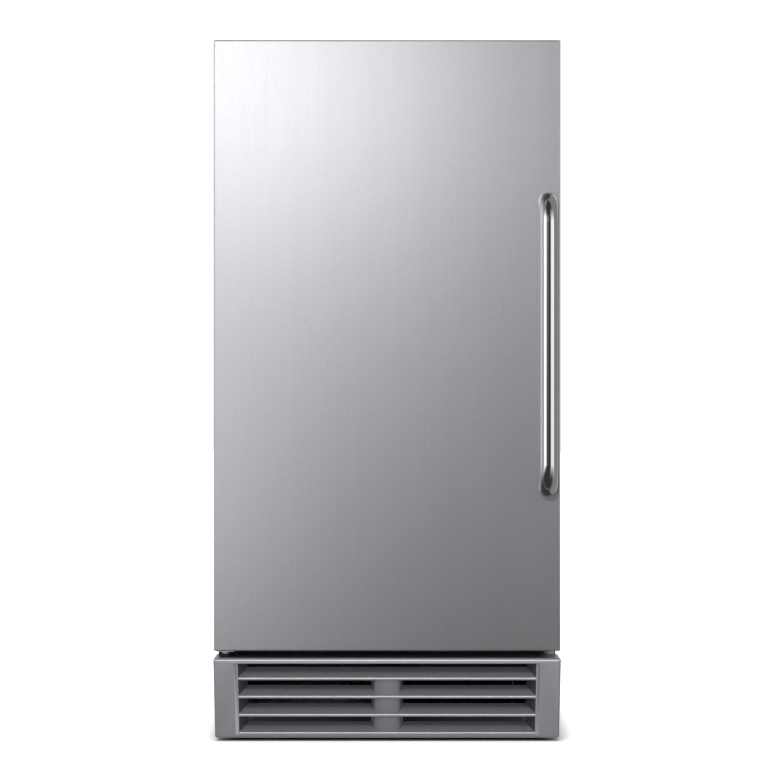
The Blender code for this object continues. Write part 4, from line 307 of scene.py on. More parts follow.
# Base pan, front rail and sheet casing
# Black powder-painted steel sheet, pressed and folded, with galvanised sheet at the back where nobody looks;
# hex-head sheet screws hold the casing to the pan and to its own flanges.
class Look:
    """One finish: a Principled shader, with shorthands for what varies over the surface."""

    def __init__(self, name, colour, roughness, metallic=0.0, **own):
        self.material = bpy.data.materials.new(name)
        self.material.use_nodes = True
        self.tree = self.material.node_tree
        self.shader = self.tree.nodes["Principled BSDF"]
        self.colour = colour
        for socket, value in {"Base Color": colour, "Roughness": roughness, "Metallic": metallic}.items():
            self.put(socket, value)
        for socket, value in own.items():
            self.put(socket.replace("_", " "), value)

    def put(self, socket, term):
        fill(self.tree, self.shader.inputs[socket], term)

    def node(self, kind, settings=None, out=0, **sockets):
        return add_node(self.tree, kind, settings, out, **sockets)

    def spot(self, stretch=(1.0, 1.0, 1.0)):
        """Places on the piece; an axis with a small stretch value has its pattern drawn out."""
        return self.node("ShaderNodeMapping", Vector=self.node("ShaderNodeTexCoord", out=3), Scale=stretch)

    def noise(self, scale, stretch=(1.0, 1.0, 1.0), detail=2.0):
        return self.node("ShaderNodeTexNoise", Vector=self.spot(stretch), Scale=scale, Detail=detail)

    def shade(self, mask, dark, light):
        """The colour runs from dark to light times itself as the mask runs from 0 to 1."""
        dark_colour, light_colour = ([tone * channel for channel in self.colour] for tone in (dark, light))
        self.blend(mask, dark_colour, light_colour)

    def blend(self, mask, low, high):
        node = self.tree.nodes.new("ShaderNodeMix")
        node.data_type = "RGBA"
        for slot, term in zip((node.inputs[0], node.inputs[6], node.inputs[7]), (mask, low, high)):
            fill(self.tree, slot, term)
        self.put("Base Color", Value(self.tree, node.outputs[2]))

    def rough(self, mask, low, high):
        self.put("Roughness", mask * (high - low) + low)

    def bump(self, height, distance, strength=1.0):
        node = self.tree.nodes.new("ShaderNodeBump")
        for name, term in (("Height", height), ("Distance", distance), ("Strength", strength)):
            fill(self.tree, node.inputs[name], term)
        self.put("Normal", Value(self.tree, node.outputs[0]))


def painted(name, colour, roughness, peel=0.03 * MM, drift=0.12, **own):
    """Paint or moulding: a fine skin, and a faint change of colour and gloss over the piece."""
    look = Look(name, colour, roughness, **own)
    cloud = look.noise(9.0)
    grain = look.noise(700.0, detail=3.0)
    look.shade(cloud, 1 - drift, 1 + drift)
    look.rough(cloud * 0.5 + grain * 0.5, roughness - drift * 0.5, roughness + drift * 0.6)
    look.bump(grain, peel)
    return look


def galvanised(name):
    """Zinc-dipped sheet: a patchwork of dull and brighter crystals."""
    look = Look(name, (0.52, 0.53, 0.54), 0.42, 1.0)
    crystals = look.node("ShaderNodeTexVoronoi", out=1, Vector=look.spot(), Scale=110.0)
    tone = axes_of(look.tree, crystals)[0]
    look.shade(tone, 0.84, 1.1)
    look.rough(tone, 0.34, 0.52)
    look.bump(look.noise(260.0), 0.02 * MM)
    return look


def body_of(node):
    for body, nodes in frame["record"]["behaviour"]["bodies"].items():
        if node in nodes:
            return body


def settled(piece):
    """The piece takes its modifiers into its mesh."""
    bpy.context.view_layer.update()
    graph = bpy.context.evaluated_depsgraph_get()
    mesh = bpy.data.meshes.new_from_object(piece.evaluated_get(graph))
    piece.modifiers.clear()
    piece.data = mesh


def smooth(piece, angle=32, weighted=True):
    """Soft over gentle bends, hard at corners, and flat where a face is large."""
    piece.data.shade_smooth()
    piece.data.set_sharp_from_angle(angle=math.radians(angle))
    if weighted:
        weighing = piece.modifiers.new("flat_faces", "WEIGHTED_NORMAL")
        weighing.keep_sharp = True
        settled(piece)


WELD_REACH = 0.01 * MM
FLAT_WITHIN = 0.4


def welded(node, shaping=None):
    """A welded copy of a CAD node's mesh, with its flat faces whole again."""
    work = bmesh.new()
    work.from_mesh(frame["nodes"][node].data)
    bmesh.ops.remove_doubles(work, verts=work.verts, dist=WELD_REACH)
    bmesh.ops.dissolve_limit(work, angle_limit=math.radians(FLAT_WITHIN), verts=work.verts, edges=work.edges)
    if shaping:
        shaping(work)
    mesh = mesh_of(work, f"{node}_finished")
    mesh.materials.clear()
    return mesh


def refined(node, look, rounding=0.0, segments=2, limit=35, angle=32, shaping=None):
    """A copy of a CAD node with its corners rounded, which stands for the node."""
    piece = put_in_scene(f"{node}_finished", welded(node, shaping))
    piece.data.materials.append(look.material)
    if rounding:
        bevel = piece.modifiers.new("rounding", "BEVEL")
        bevel.width = rounding
        bevel.segments = segments
        bevel.limit_method = "ANGLE"
        bevel.angle_limit = math.radians(limit)
        settled(piece)
    smooth(piece, angle)
    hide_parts(node)
    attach(piece, body_of(node))
    return piece


class Recipe:
    """A Geometry Nodes tree with named inputs for its sizes."""

    def __init__(self, name, **sizes):
        self.sizes = sizes
        self.tree = bpy.data.node_groups.new(name, "GeometryNodeTree")
        self.add_input("Geometry", "NodeSocketGeometry")
        self.tree.interface.new_socket("Geometry", in_out="OUTPUT", socket_type="NodeSocketGeometry")
        for label, value in sizes.items():
            self.add_input(label, "NodeSocketInt" if isinstance(value, int) else "NodeSocketFloat")
        self.entry = self.tree.nodes.new("NodeGroupInput")
        self.exit = self.tree.nodes.new("NodeGroupOutput")

    def add_input(self, label, kind):
        self.tree.interface.new_socket(label, in_out="INPUT", socket_type=kind)

    def size(self, label):
        return Value(self.tree, self.entry.outputs[label])

    def node(self, kind, settings=None, out=0, **sockets):
        return add_node(self.tree, kind, settings, out, **sockets)

    def joined(self, *shapes):
        node = self.tree.nodes.new("GeometryNodeJoinGeometry")
        for shape in shapes:
            self.tree.links.new(shape.socket, node.inputs[0])
        return Value(self.tree, node.outputs[0])

    def made(self, name, base, shape, look, body, angle=32):
        """The finished tree put to work on the base mesh, as a plain piece on its body."""
        whole = self.node("GeometryNodeRealizeInstances", Geometry=shape)
        whole = self.node("GeometryNodeSetMaterial", Geometry=whole, Material=look.material)
        fill(self.tree, self.exit.inputs["Geometry"], whole)
        piece = put_in_scene(name, base)
        modifier = piece.modifiers.new("recipe", "NODES")
        modifier.node_group = self.tree
        for item in self.tree.interface.items_tree:
            if item.name in self.sizes:
                modifier[item.identifier] = self.sizes[item.name]
        settled(piece)
        smooth(piece, angle)
        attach(piece, body)
        return piece


def points_mesh(name, places, path=False):
    """Bare points, or points joined one to the next as a path."""
    mesh = bpy.data.meshes.new(name)
    mesh.from_pydata(places, [(step, step + 1) for step in range(len(places) - 1)] if path else [], [])
    return mesh


HEAD_HEIGHT = 2.0 * MM
WASHER_SHEET = 0.6 * MM


def hex_screws(name, places, turn, look, width=7.0 * MM):
    """Hex washer heads at these places, on a face whose outward side the turn gives."""
    recipe = Recipe(name, Across=width, Head=HEAD_HEIGHT, Washer=WASHER_SHEET)
    across, head, washer = (recipe.size(label) for label in ("Across", "Head", "Washer"))
    disc = recipe.node("GeometryNodeMeshCylinder", Vertices=20, Radius=across * 0.72, Depth=washer)
    top = recipe.node("GeometryNodeMeshCylinder", Vertices=6, Radius=across * 0.56, Depth=head)
    lift = recipe.node("ShaderNodeCombineXYZ", Z=head * 0.5)
    screw = recipe.joined(disc, recipe.node("GeometryNodeTransform", Geometry=top, Translation=lift))
    spots = recipe.size("Geometry")
    heads = recipe.node("GeometryNodeInstanceOnPoints", Points=spots, Instance=screw, Rotation=turn)
    return recipe.made(name, points_mesh(name, places), heads, look, "cabinet")


CASING = painted("black_powder_paint", (0.012, 0.012, 0.013), 0.5, Specular_IOR_Level=0.3)
FRAME_PAINT = painted("grey_powder_paint", (0.10, 0.103, 0.108), 0.46)
GALVANISED = galvanised("galvanised_sheet")
SCREW_ZINC = painted("bright_zinc", (0.60, 0.61, 0.62), 0.30, 0.01 * MM, metallic=1.0)
OUT_BACK = (-math.pi / 2, 0.0, 0.0)
OUT_LEFT = (0.0, -math.pi / 2, 0.0)
OUT_RIGHT = (0.0, math.pi / 2, 0.0)

for node in ("base_pan", "rear_panel", "rear_service_cover"):
    refined(node, GALVANISED)
for node in ("side_panel_left", "side_panel_right", "top_panel"):
    refined(node, CASING)

# The rail's right end is coloured light grey, a painted patch of side light falling into the gap under the
# door.
RAIL_WITH_PAINTED_LIGHT = painted("rail_paint_with_painted_light", CASING.colour, 0.5, Specular_IOR_Level=0.3)
LIGHT_PATCH_FROM = 195 * MM
LIGHT_PATCH_FULL = 207 * MM
light_patch = eased(axes_of(RAIL_WITH_PAINTED_LIGHT.tree, RAIL_WITH_PAINTED_LIGHT.spot())[0], LIGHT_PATCH_FROM, LIGHT_PATCH_FULL)
RAIL_WITH_PAINTED_LIGHT.blend(light_patch, RAIL_WITH_PAINTED_LIGHT.colour, (0.80, 0.81, 0.82))
refined("front_rail", RAIL_WITH_PAINTED_LIGHT)

EDGE_INSET = 9.0 * MM
cover_low, cover_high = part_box("rear_service_cover")
panel_low, panel_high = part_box("rear_panel")
cover_places = [
    (x, cover_high[1], z)
    for x in (cover_low[0] + EDGE_INSET, 0.0, cover_high[0] - EDGE_INSET)
    for z in (cover_low[2] + EDGE_INSET, cover_high[2] - EDGE_INSET)
]
panel_heights = (panel_low[2] + EDGE_INSET, 0.5 * (panel_low[2] + panel_high[2]), panel_high[2] - EDGE_INSET)
panel_places = [
    (x, panel_high[1], z)
    for x in (panel_low[0] + EDGE_INSET, panel_high[0] - EDGE_INSET)
    for z in panel_heights
]
panel_places.append((0.0, panel_high[1], panel_high[2] - EDGE_INSET))
hex_screws("service_cover_screws", cover_places, OUT_BACK, SCREW_ZINC)
hex_screws("rear_panel_screws", panel_places, OUT_BACK, SCREW_ZINC)
side_low, side_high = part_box("side_panel_left")
side_steps = (side_low[1] + 6 * EDGE_INSET, 0.5 * (side_low[1] + side_high[1]), side_high[1] - 3 * EDGE_INSET)
for side, turn, side_x in (("left", OUT_LEFT, side_low[0]), ("right", OUT_RIGHT, -side_low[0])):
    side_places = [(side_x, y, side_low[2] + EDGE_INSET) for y in side_steps]
    hex_screws(f"side_screws_{side}", side_places, turn, CASING, 6.0 * MM)


# Louvre hoods of the service cover
# Pressed outwards from the galvanised sheet over each slot, open downwards so that drips run off.
def hood_mesh(length, height, reach):
    """Half a pressed louvre, as a sheet that rises from the panel over its slot and closes at its ends."""
    across, around = 18, 6
    work = bmesh.new()
    rows = []
    for column in range(across + 1):
        share = 2 * column / across - 1
        size = math.sqrt(max(0.0, 1 - share**8))
        row = []
        for step in range(around + 1):
            angle = 0.5 * math.pi * step / around
            proud = size * reach * math.sin(angle)
            drop = -height + size * height * (1 + math.cos(angle))
            row.append(work.verts.new((share * length / 2, proud, drop)))
        rows.append(row)
    for row, following in zip(rows, rows[1:]):
        for step in range(around):
            work.faces.new((row[step], following[step], following[step + 1], row[step + 1]))
    bmesh.ops.remove_doubles(work, verts=work.verts, dist=WELD_REACH)
    bmesh.ops.recalc_face_normals(work, faces=work.faces)
    return mesh_of(work, "hood")


LOUVRE_ROWS = 7
LOUVRE_PITCH = 14 * MM
LOUVRE_MIDDLE = 95 * MM
LOUVRE_TOP_DROP = 24 * MM
HOOD_LENGTH = 133 * MM
HOOD_HEIGHT = 4 * MM
HOOD_REACH = 4 * MM
HOOD_SHEET = 0.7 * MM
rows = Recipe("louvre_rows", Rows=LOUVRE_ROWS, Pitch=-LOUVRE_PITCH, Sheet=HOOD_SHEET)
outer = rows.size("Geometry")
inward = rows.size("Sheet") * -1
inner = rows.node("GeometryNodeExtrudeMesh", Mesh=outer, Offset_Scale=inward, Individual=False)
down = rows.node("ShaderNodeCombineXYZ", Z=rows.size("Pitch"))
column = rows.node("GeometryNodeMeshLine", Count=rows.size("Rows"), Offset=down)
column = rows.node("GeometryNodeInstanceOnPoints", Points=column, Instance=rows.joined(outer, inner))
columns = [
    rows.node("GeometryNodeTransform", Geometry=column, Translation=(side * LOUVRE_MIDDLE, 0.0, 0.0))
    for side in (-1, 1)
]
hoods = hood_mesh(HOOD_LENGTH, HOOD_HEIGHT, HOOD_REACH)
hoods.transform(Matrix.Translation((0.0, cover_high[1], cover_high[2] - LOUVRE_TOP_DROP)))
rows.made("louvre_hoods", hoods, rows.joined(*columns), GALVANISED, "cabinet", angle=40)


# Levelling legs
# Black nylon feet moulded on threaded studs, which screw up and down in the pan.
NYLON = painted("black_nylon", (0.018, 0.018, 0.019), 0.52, 0.02 * MM)
STUD_RADIUS = 5 * MM
THREAD_PITCH = 1.75 * MM
THREAD_FOOT = 15 * MM
THREAD_LENGTH = 43 * MM
THREAD_RIDGE = 0.28 * MM
THREAD_ROOT = 0.1 * MM
for place in ("front_left", "front_right", "rear_left", "rear_right"):
    refined(f"levelling_leg_{place}", NYLON, 0.5 * MM)
    low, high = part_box(f"levelling_leg_{place}")
    middle = (0.5 * (low[0] + high[0]), 0.5 * (low[1] + high[1]), THREAD_FOOT)
    sizes = {"Core": STUD_RADIUS, "Ridge": THREAD_RIDGE, "Length": THREAD_LENGTH}
    thread = Recipe(f"thread_{place}", Turns=THREAD_LENGTH / THREAD_PITCH, **sizes)
    root = thread.size("Core") - THREAD_ROOT
    ends = {"Start_Radius": root, "End_Radius": root}
    turns, length = thread.size("Turns"), thread.size("Length")
    helix = thread.node("GeometryNodeCurveSpiral", Resolution=24, Rotations=turns, Height=length, **ends)
    ridge = thread.node("GeometryNodeCurvePrimitiveCircle", Resolution=4, Radius=thread.size("Ridge"))
    helix = thread.node("GeometryNodeCurveToMesh", Curve=helix, Profile_Curve=ridge, Fill_Caps=True)
    helix = thread.node("GeometryNodeInstanceOnPoints", Points=thread.size("Geometry"), Instance=helix)
    base = points_mesh(f"leg_thread_{place}", [middle])
    thread.made(f"leg_thread_{place}", base, helix, NYLON, f"leg_{place}")


# Compressor
# A hermetic shell in gloss black enamel, its two drawn halves welded round the middle, on four rubber feet;
# the moulded cover over its terminals is clipped to its side.
ENAMEL = painted("black_enamel", (0.012, 0.012, 0.013), 0.24, 0.05 * MM)
RUBBER = painted("black_rubber", (0.022, 0.022, 0.022), 0.72, 0.03 * MM)
refined("compressor", ENAMEL, 0.6 * MM, limit=50, angle=40)
for number in range(1, 5):
    refined(f"compressor_grommet_{number}", RUBBER, angle=50)
shell_low, shell_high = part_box("compressor")
SHELL_RADIUS = 75 * MM
SHELL_SIDE = 85 * MM
WELD_BEAD = 1.6 * MM
shell_middle = (SHELL_SIDE, 0.5 * (shell_low[1] + shell_high[1]), 0.5 * (shell_low[2] + shell_high[2]))
seam = Recipe("weld_seam", Shell=SHELL_RADIUS, Bead=WELD_BEAD)
ring = seam.node("GeometryNodeCurvePrimitiveCircle", Resolution=96, Radius=seam.size("Shell"))
bead = seam.node("GeometryNodeCurvePrimitiveCircle", Resolution=8, Radius=seam.size("Bead"))
ring = seam.node("GeometryNodeCurveToMesh", Curve=ring, Profile_Curve=bead)
ring = seam.node("GeometryNodeInstanceOnPoints", Points=seam.size("Geometry"), Instance=ring)
seam_base = points_mesh("compressor_seam", [shell_middle])
seam.made("compressor_seam", seam_base, ring, ENAMEL, "cabinet", angle=60)


# Condenser, fan and motor
# A block of thin fins on hairpin tubes behind the grille, coloured near black as painted shade for the dark
# seen through the grille; the fan draws room air through it in a moulded shroud, on the shaft of a small
# shaded-pole motor.
FINS_IN_PAINTED_SHADE = painted("near_black_fins_painted_shade", (0.016, 0.016, 0.017), 0.38, 0.01 * MM)
SHROUD = painted("black_moulding", (0.020, 0.020, 0.021), 0.48, 0.02 * MM)
coil_low, coil_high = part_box("condenser_coil")
FIN_SHEET = 0.25 * MM
FIN_PITCH = 2.0 * MM
END_PLATE = 1.2 * MM
coil_size = Vector(coil_high) - Vector(coil_low)
fin_count = int((coil_size.x - 2 * END_PLATE) / FIN_PITCH)
fin_sizes = {"Sheet": FIN_SHEET, "Depth": coil_size.y, "Height": coil_size.z}
fins = Recipe("fins", Count=fin_count, Pitch=FIN_PITCH, **fin_sizes)
sheet, depth, height = (fins.size(label) for label in ("Sheet", "Depth", "Height"))
fin = fins.node("GeometryNodeMeshCube", Size=fins.node("ShaderNodeCombineXYZ", X=sheet, Y=depth, Z=height))
aside = fins.node("ShaderNodeCombineXYZ", X=fins.size("Pitch"))
line = fins.node("GeometryNodeMeshLine", Count=fins.size("Count"), Offset=aside)
first_fin = Vector(coil_low) + Vector((END_PLATE + FIN_PITCH / 2, coil_size.y / 2, coil_size.z / 2))
line = fins.node("GeometryNodeTransform", Geometry=line, Translation=first_fin)
block = fins.node("GeometryNodeInstanceOnPoints", Points=line, Instance=fin)
fin_base = bpy.data.meshes.new("condenser_fins")
condenser = fins.made("condenser_fins", fin_base, block, FINS_IN_PAINTED_SHADE, "cabinet")
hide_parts("condenser_coil")


def shown(name, mesh, look, body, weighted=True):
    """A piece of the scene's own on its body."""
    piece = put_in_scene(name, mesh)
    mesh.materials.append(look.material)
    smooth(piece, weighted=weighted)
    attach(piece, body)
    return piece


def plate_mesh(name, low, high, rounding):
    """A plate between two corners, its edges rounded."""
    work = bmesh.new()
    bmesh.ops.create_cube(work, size=1.0)
    size = [end - start for start, end in zip(low, high)]
    middle = [0.5 * (end + start) for start, end in zip(low, high)]
    work.transform(Matrix.Translation(middle) @ Matrix.Diagonal((*size, 1.0)))
    bmesh.ops.bevel(work, geom=work.edges[:], offset=rounding, segments=2, affect="EDGES", profile=0.5)
    return mesh_of(work, name)


for side, start in (("left", coil_low[0]), ("right", coil_high[0] - END_PLATE)):
    name = f"condenser_plate_{side}"
    plate = plate_mesh(name, (start, *coil_low[1:]), (start + END_PLATE, *coil_high[1:]), 0.2 * MM)
    shown(name, plate, GALVANISED, "cabinet", weighted=False)


def swept(name, path, radius, bend, sides, look, body, angle=40):
    """A round tube that follows the path, with its corners bent to one radius and its ends closed."""
    recipe = Recipe(name, Radius=radius, Bend=bend, Sides=sides)
    line = recipe.node("GeometryNodeMeshToCurve", Mesh=recipe.size("Geometry"))
    corner = recipe.size("Bend")
    line = recipe.node(
        "GeometryNodeFilletCurve", {"mode": "POLY"}, Curve=line, Count=16, Radius=corner, Limit_Radius=True
    )
    round_of, reach = recipe.size("Sides"), recipe.size("Radius")
    ring = recipe.node("GeometryNodeCurvePrimitiveCircle", Resolution=round_of, Radius=reach)
    tube = recipe.node("GeometryNodeCurveToMesh", Curve=line, Profile_Curve=ring, Fill_Caps=True)
    return recipe.made(name, points_mesh(name, path, True), tube, look, body, angle)


TUBE_RADIUS = 4 * MM
TUBE_ROWS = 4
TUBE_SIDES = 16
HAIRPIN_REACH = 11 * MM
HAIRPIN_BEND = 7.5 * MM
TUBE_LINES = (0.28, 0.72)
row_step = coil_size.z / TUBE_ROWS
front, back = (coil_low[1] + coil_size.y * share for share in TUBE_LINES)
for row in range(TUBE_ROWS):
    z = coil_low[2] + row_step * (row + 0.5)
    for side, start, way in (("left", coil_low[0] + END_PLATE, -1), ("right", coil_high[0] - END_PLATE, 1)):
        end = start + way * HAIRPIN_REACH
        path = [(start, front, z), (end, front, z), (end, back, z), (start, back, z)]
        name = f"condenser_bend_{side}_{row}"
        swept(name, path, TUBE_RADIUS, HAIRPIN_BEND, TUBE_SIDES, FINS_IN_PAINTED_SHADE, "cabinet")
refined("fan_shroud", SHROUD, 0.4 * MM)
refined("fan_blade", SHROUD, 0.3 * MM)
refined("fan_motor", FRAME_PAINT, 0.5 * MM, limit=50, angle=40)


# Refrigerant circuit
# Drawn copper tube, bent by hand, brazed and browned by the heat; the filter drier is a spun copper can in
# the liquid line. The pipes low in the base are a darker copy of the copper, painted shade.
def drawn_copper(name, bright, brown):
    """Copper tube with brown bloom in clouds along it."""
    look = Look(name, bright, 0.28, 1.0)
    tarnish = look.noise(42.0, detail=4.0)
    look.blend(eased(tarnish, 0.35, 0.75), bright, brown)
    look.rough(tarnish, 0.2, 0.45)
    return look


COPPER = drawn_copper("drawn_copper", (0.78, 0.40, 0.26), (0.42, 0.20, 0.13))
COPPER_IN_PAINTED_SHADE = drawn_copper("copper_darkened_painted_shade", (0.34, 0.17, 0.11), (0.16, 0.08, 0.055))
low_pipes = []
# These pipes, seen through the grille, take the darker copy of the copper: painted shade.
for node in ("filter_drier", "discharge_line", "liquid_line", "capillary_line", "suction_line"):
    low_pipes.append(refined(node, COPPER_IN_PAINTED_SHADE, angle=50))

# Fittings at the back
# A white acetal water valve, a grey PVC drain stub and a black appliance inlet, each through its own hole.
ACETAL = painted("white_acetal", (0.74, 0.745, 0.74), 0.34, 0.01 * MM, 0.02)
PVC = painted("grey_pvc", (0.28, 0.285, 0.29), 0.42, 0.01 * MM)
refined("inlet_valve", ACETAL, 0.4 * MM, limit=45, angle=40)
refined("drain_fitting", PVC, 0.4 * MM, limit=45, angle=40)
refined("power_inlet", SHROUD, 0.3 * MM)

# Bin liner and cabinet foam
# One vacuum-formed shell of gloss white plastic, set in foam that was blown in behind it.
LINER = painted("white_liner", (0.78, 0.79, 0.80), 0.26, 0.02 * MM, 0.02)
FOAM = Look("rigid_foam", (0.74, 0.66, 0.42), 0.86)
cells = FOAM.node("ShaderNodeTexVoronoi", Vector=FOAM.spot(), Scale=420.0)
FOAM.shade(cells, 0.80, 1.12)
FOAM.bump(cells, 0.3 * MM)
refined("bin_liner", LINER, 1.2 * MM, segments=3)
refined("cabinet_foam", FOAM)

# Evaporator and water parts
# A nickel-plated copper ice grid stands between two white cheeks, under a row of spray holes; a clear curtain
# hangs before it and sheds the slab into the bin, and the trough below holds the float, fed by the pump.
NICKEL = Look("nickel_plate", (0.66, 0.66, 0.64), 0.2, 1.0)
bloom = NICKEL.noise(55.0, detail=3.0)
NICKEL.shade(bloom, 0.9, 1.06)
NICKEL.rough(bloom, 0.14, 0.3)
MOULDED_WHITE = painted("white_moulding", (0.76, 0.77, 0.775), 0.38, 0.015 * MM, 0.02)
CLEAR = {"Transmission_Weight": 0.75, "IOR": 1.49}
FROSTED = painted("frosted_plastic", (0.86, 0.88, 0.90), 0.34, 0.01 * MM, 0.02, **CLEAR)
refined("evaporator_grid", NICKEL, 0.4 * MM)
refined("evaporator_tube", COPPER, angle=50)
for node in ("evaporator_cheek_left", "evaporator_cheek_right", "water_distributor", "water_trough"):
    refined(node, MOULDED_WHITE, 0.5 * MM)
refined("water_float", MOULDED_WHITE, 0.8 * MM, limit=45, angle=40)
refined("ice_curtain", FROSTED, 0.5 * MM)
refined("water_pump", SHROUD, 0.8 * MM, limit=45, angle=40)
refined("pump_hose", FROSTED, angle=50)

# Controls
# A white housing screwed under the bin's ceiling carries the rocker switch and the lens over its lamp; the
# thermostat's copper probe lies in a clip on the bin's left wall.
refined("control_housing", MOULDED_WHITE, 1.5 * MM, segments=3)
refined("rocker_switch", SHROUD, 0.4 * MM)
refined("light_lens", FROSTED, 0.6 * MM)
refined("bin_thermostat_probe", COPPER, angle=50)

# Ice scoop and its hook
# An injection-moulded scoop in blue plastic, hung by its handle from a white hook on the right wall.
SCOOP_BLUE = painted("scoop_plastic", (0.12, 0.24, 0.46), 0.3, 0.01 * MM)
refined("scoop_hook", MOULDED_WHITE, 0.6 * MM)
refined("ice_scoop", SCOOP_BLUE, 0.8 * MM)

# Toe grille and air divider
# One moulding in satin silver paint: two pillars, a rounded top rail, four louvres with rolled lips and a
# post that blends into the lower three; the grey divider behind it keeps warm air from the intake.
CORNER_RADIUS = 0.7 * MM
CORNER_FROM = 50


def ease_corners(work):
    """A small radius on every outer corner of the moulding."""
    sharp = math.radians(CORNER_FROM)
    outer = [
        edge for edge in work.edges
        if len(edge.link_faces) == 2 and edge.is_convex and edge.calc_face_angle() > sharp
    ]
    bmesh.ops.bevel(
        work, geom=outer, offset=CORNER_RADIUS, segments=3, affect="EDGES", profile=0.5, clamp_overlap=True
    )


POST_HALF = 20.0 * MM
POST_CROWN = 2.3 * MM
POST_FALL = 15.0 * MM
POST_SET_BACK = 4.6 * MM
POST_LOW = 10 * MM
POST_HIGH = 76 * MM


def post_mesh():
    """The post's crowned face, whose sides fall away in a soft curve to the louvres."""
    work = bmesh.new()
    count = 28
    rows = []
    for z in (POST_LOW, POST_HIGH):
        row = []
        for step in range(count + 1):
            share = 2 * step / count - 1
            bow = POST_CROWN * share**2 + POST_FALL * abs(share) ** 9
            row.append(work.verts.new((POST_HALF * share, GRILLE_FRONT + POST_SET_BACK + bow, z)))
        rows.append(row)
    for step in range(count):
        work.faces.new((rows[0][step], rows[0][step + 1], rows[1][step + 1], rows[1][step]))
    work.faces.new((rows[0][0], rows[1][0], rows[1][-1], rows[0][-1]))
    work.faces.new(rows[1])
    work.faces.new(rows[0][::-1])
    bmesh.ops.recalc_face_normals(work, faces=work.faces)
    return mesh_of(work, "toe_grille_post")


def silver_paint(name, tone, metallic):
    """Silver paint with fine flakes; lighter copies of it serve as painted highlights and darker ones as
    painted shade.
    """
    look = Look(name, [tone * channel for channel in (0.396, 0.404, 0.43)], 0.34, metallic)
    look.shade(look.noise(2600.0, detail=1.0), 0.88, 1.12)
    look.rough(look.noise(30.0), 0.32, 0.38)
    return look


SILVER = silver_paint("satin_silver_paint", 0.63, 0.40)
# A darker copy: painted shade on the slot end walls.
SHADE_IN_SLOTS = silver_paint("silver_painted_shade_in_slots", 0.17, 0.3)
# A lighter copy: painted highlight on the slot chamfers and the top edge.
HIGHLIGHT_ON_EDGES = silver_paint("silver_painted_highlight_edges", 1.2, 0.55)
# A lighter copy: painted highlight on the rolled lips.
LIP_HIGHLIGHT_PAINT = silver_paint("lip_silver_painted_highlight", 0.95, 0.5)
# A darker copy: painted shade on the recessed post.
POST_SHADE_PAINT = silver_paint("post_silver_painted_shade", 0.48, 0.40)
DIVIDER = painted("grey_moulding", (0.05, 0.051, 0.053), 0.5, 0.02 * MM)
SLOT_ENDS = (165 * MM, 195 * MM)
SLOT_FROM = 4 * MM
TOP_EDGE_FROM = 96 * MM
SHADE_FACE, HIGHLIGHT_FACE = 1, 2
grille = refined("toe_grille", SILVER, shaping=ease_corners)
for look in (SHADE_IN_SLOTS, HIGHLIGHT_ON_EDGES):
    grille.data.materials.append(look.material)
# The slot end walls take painted shade; the chamfers beside them and the sloping top edge take a painted
# highlight.
for face in grille.data.polygons:
    deep = face.center.y > GRILLE_FRONT + SLOT_FROM
    sideways = abs(face.normal.x)
    if SLOT_ENDS[0] < abs(face.center.x) < SLOT_ENDS[1] and deep and sideways > 0.8:
        face.material_index = SHADE_FACE
    elif SLOT_ENDS[0] < abs(face.center.x) < SLOT_ENDS[1] and not deep and 0.4 < sideways < 0.7:
        face.material_index = HIGHLIGHT_FACE
    elif face.center.z > TOP_EDGE_FROM and 0.4 < face.normal.z < 0.85:
        face.material_index = HIGHLIGHT_FACE
post = shown("toe_grille_post", post_mesh(), POST_SHADE_PAINT, "cabinet")

LIP_BEAD = 1.75 * MM
LIP_SIDES = 20
LIP_SET_BACK = 3.9 * MM
LIP_HALVES = (183.8 * MM, 184.0 * MM, 184.5 * MM, 185.1 * MM)
LIP_HEIGHTS = (9.4 * MM, 32.0 * MM, 54.6 * MM, 77.2 * MM)
lip_y = GRILLE_FRONT + LIP_SET_BACK
lip_ends = [(side * half, lip_y, z) for half, z in zip(LIP_HALVES, LIP_HEIGHTS) for side in (-1, 1)]
lip_rows = [(2 * row, 2 * row + 1) for row in range(len(LIP_HEIGHTS))]
lips = Recipe("rolled_lips", Bead=LIP_BEAD)
lip_mesh = bpy.data.meshes.new("toe_grille_lips")
lip_mesh.from_pydata(lip_ends, lip_rows, [])
lip = lips.node("GeometryNodeMeshToCurve", Mesh=lips.size("Geometry"))
round_lip = lips.node("GeometryNodeCurvePrimitiveCircle", Resolution=LIP_SIDES, Radius=lips.size("Bead"))
lip = lips.node("GeometryNodeCurveToMesh", Curve=lip, Profile_Curve=round_lip, Fill_Caps=True)
grille_lips = lips.made("toe_grille_lips", lip_mesh, lip, LIP_HIGHLIGHT_PAINT, "cabinet")
refined("air_divider", DIVIDER)

# Hinges
# The upper leaf and the lower bracket are black-painted 3 mm steel; the plate under the door is zinc-plated,
# and so is the pin that stands up from the bracket.
refined("hinge_top_plate", CASING, 0.5 * MM)
WHITE_ZINC = painted("white_zinc", (0.74, 0.75, 0.76), 0.3, 0.01 * MM, 0.05, metallic=0.4)
door_plate = refined("hinge_door_plate", WHITE_ZINC, 0.3 * MM)
bracket = refined("hinge_bottom_bracket", CASING, 0.4 * MM)
bracket.data.materials.append(WHITE_ZINC.material)
PIN = 1
pin_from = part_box("hinge_door_plate")[0][2] - 3 * MM
for face in bracket.data.polygons:
    if face.center.z > pin_from:
        face.material_index = PIN

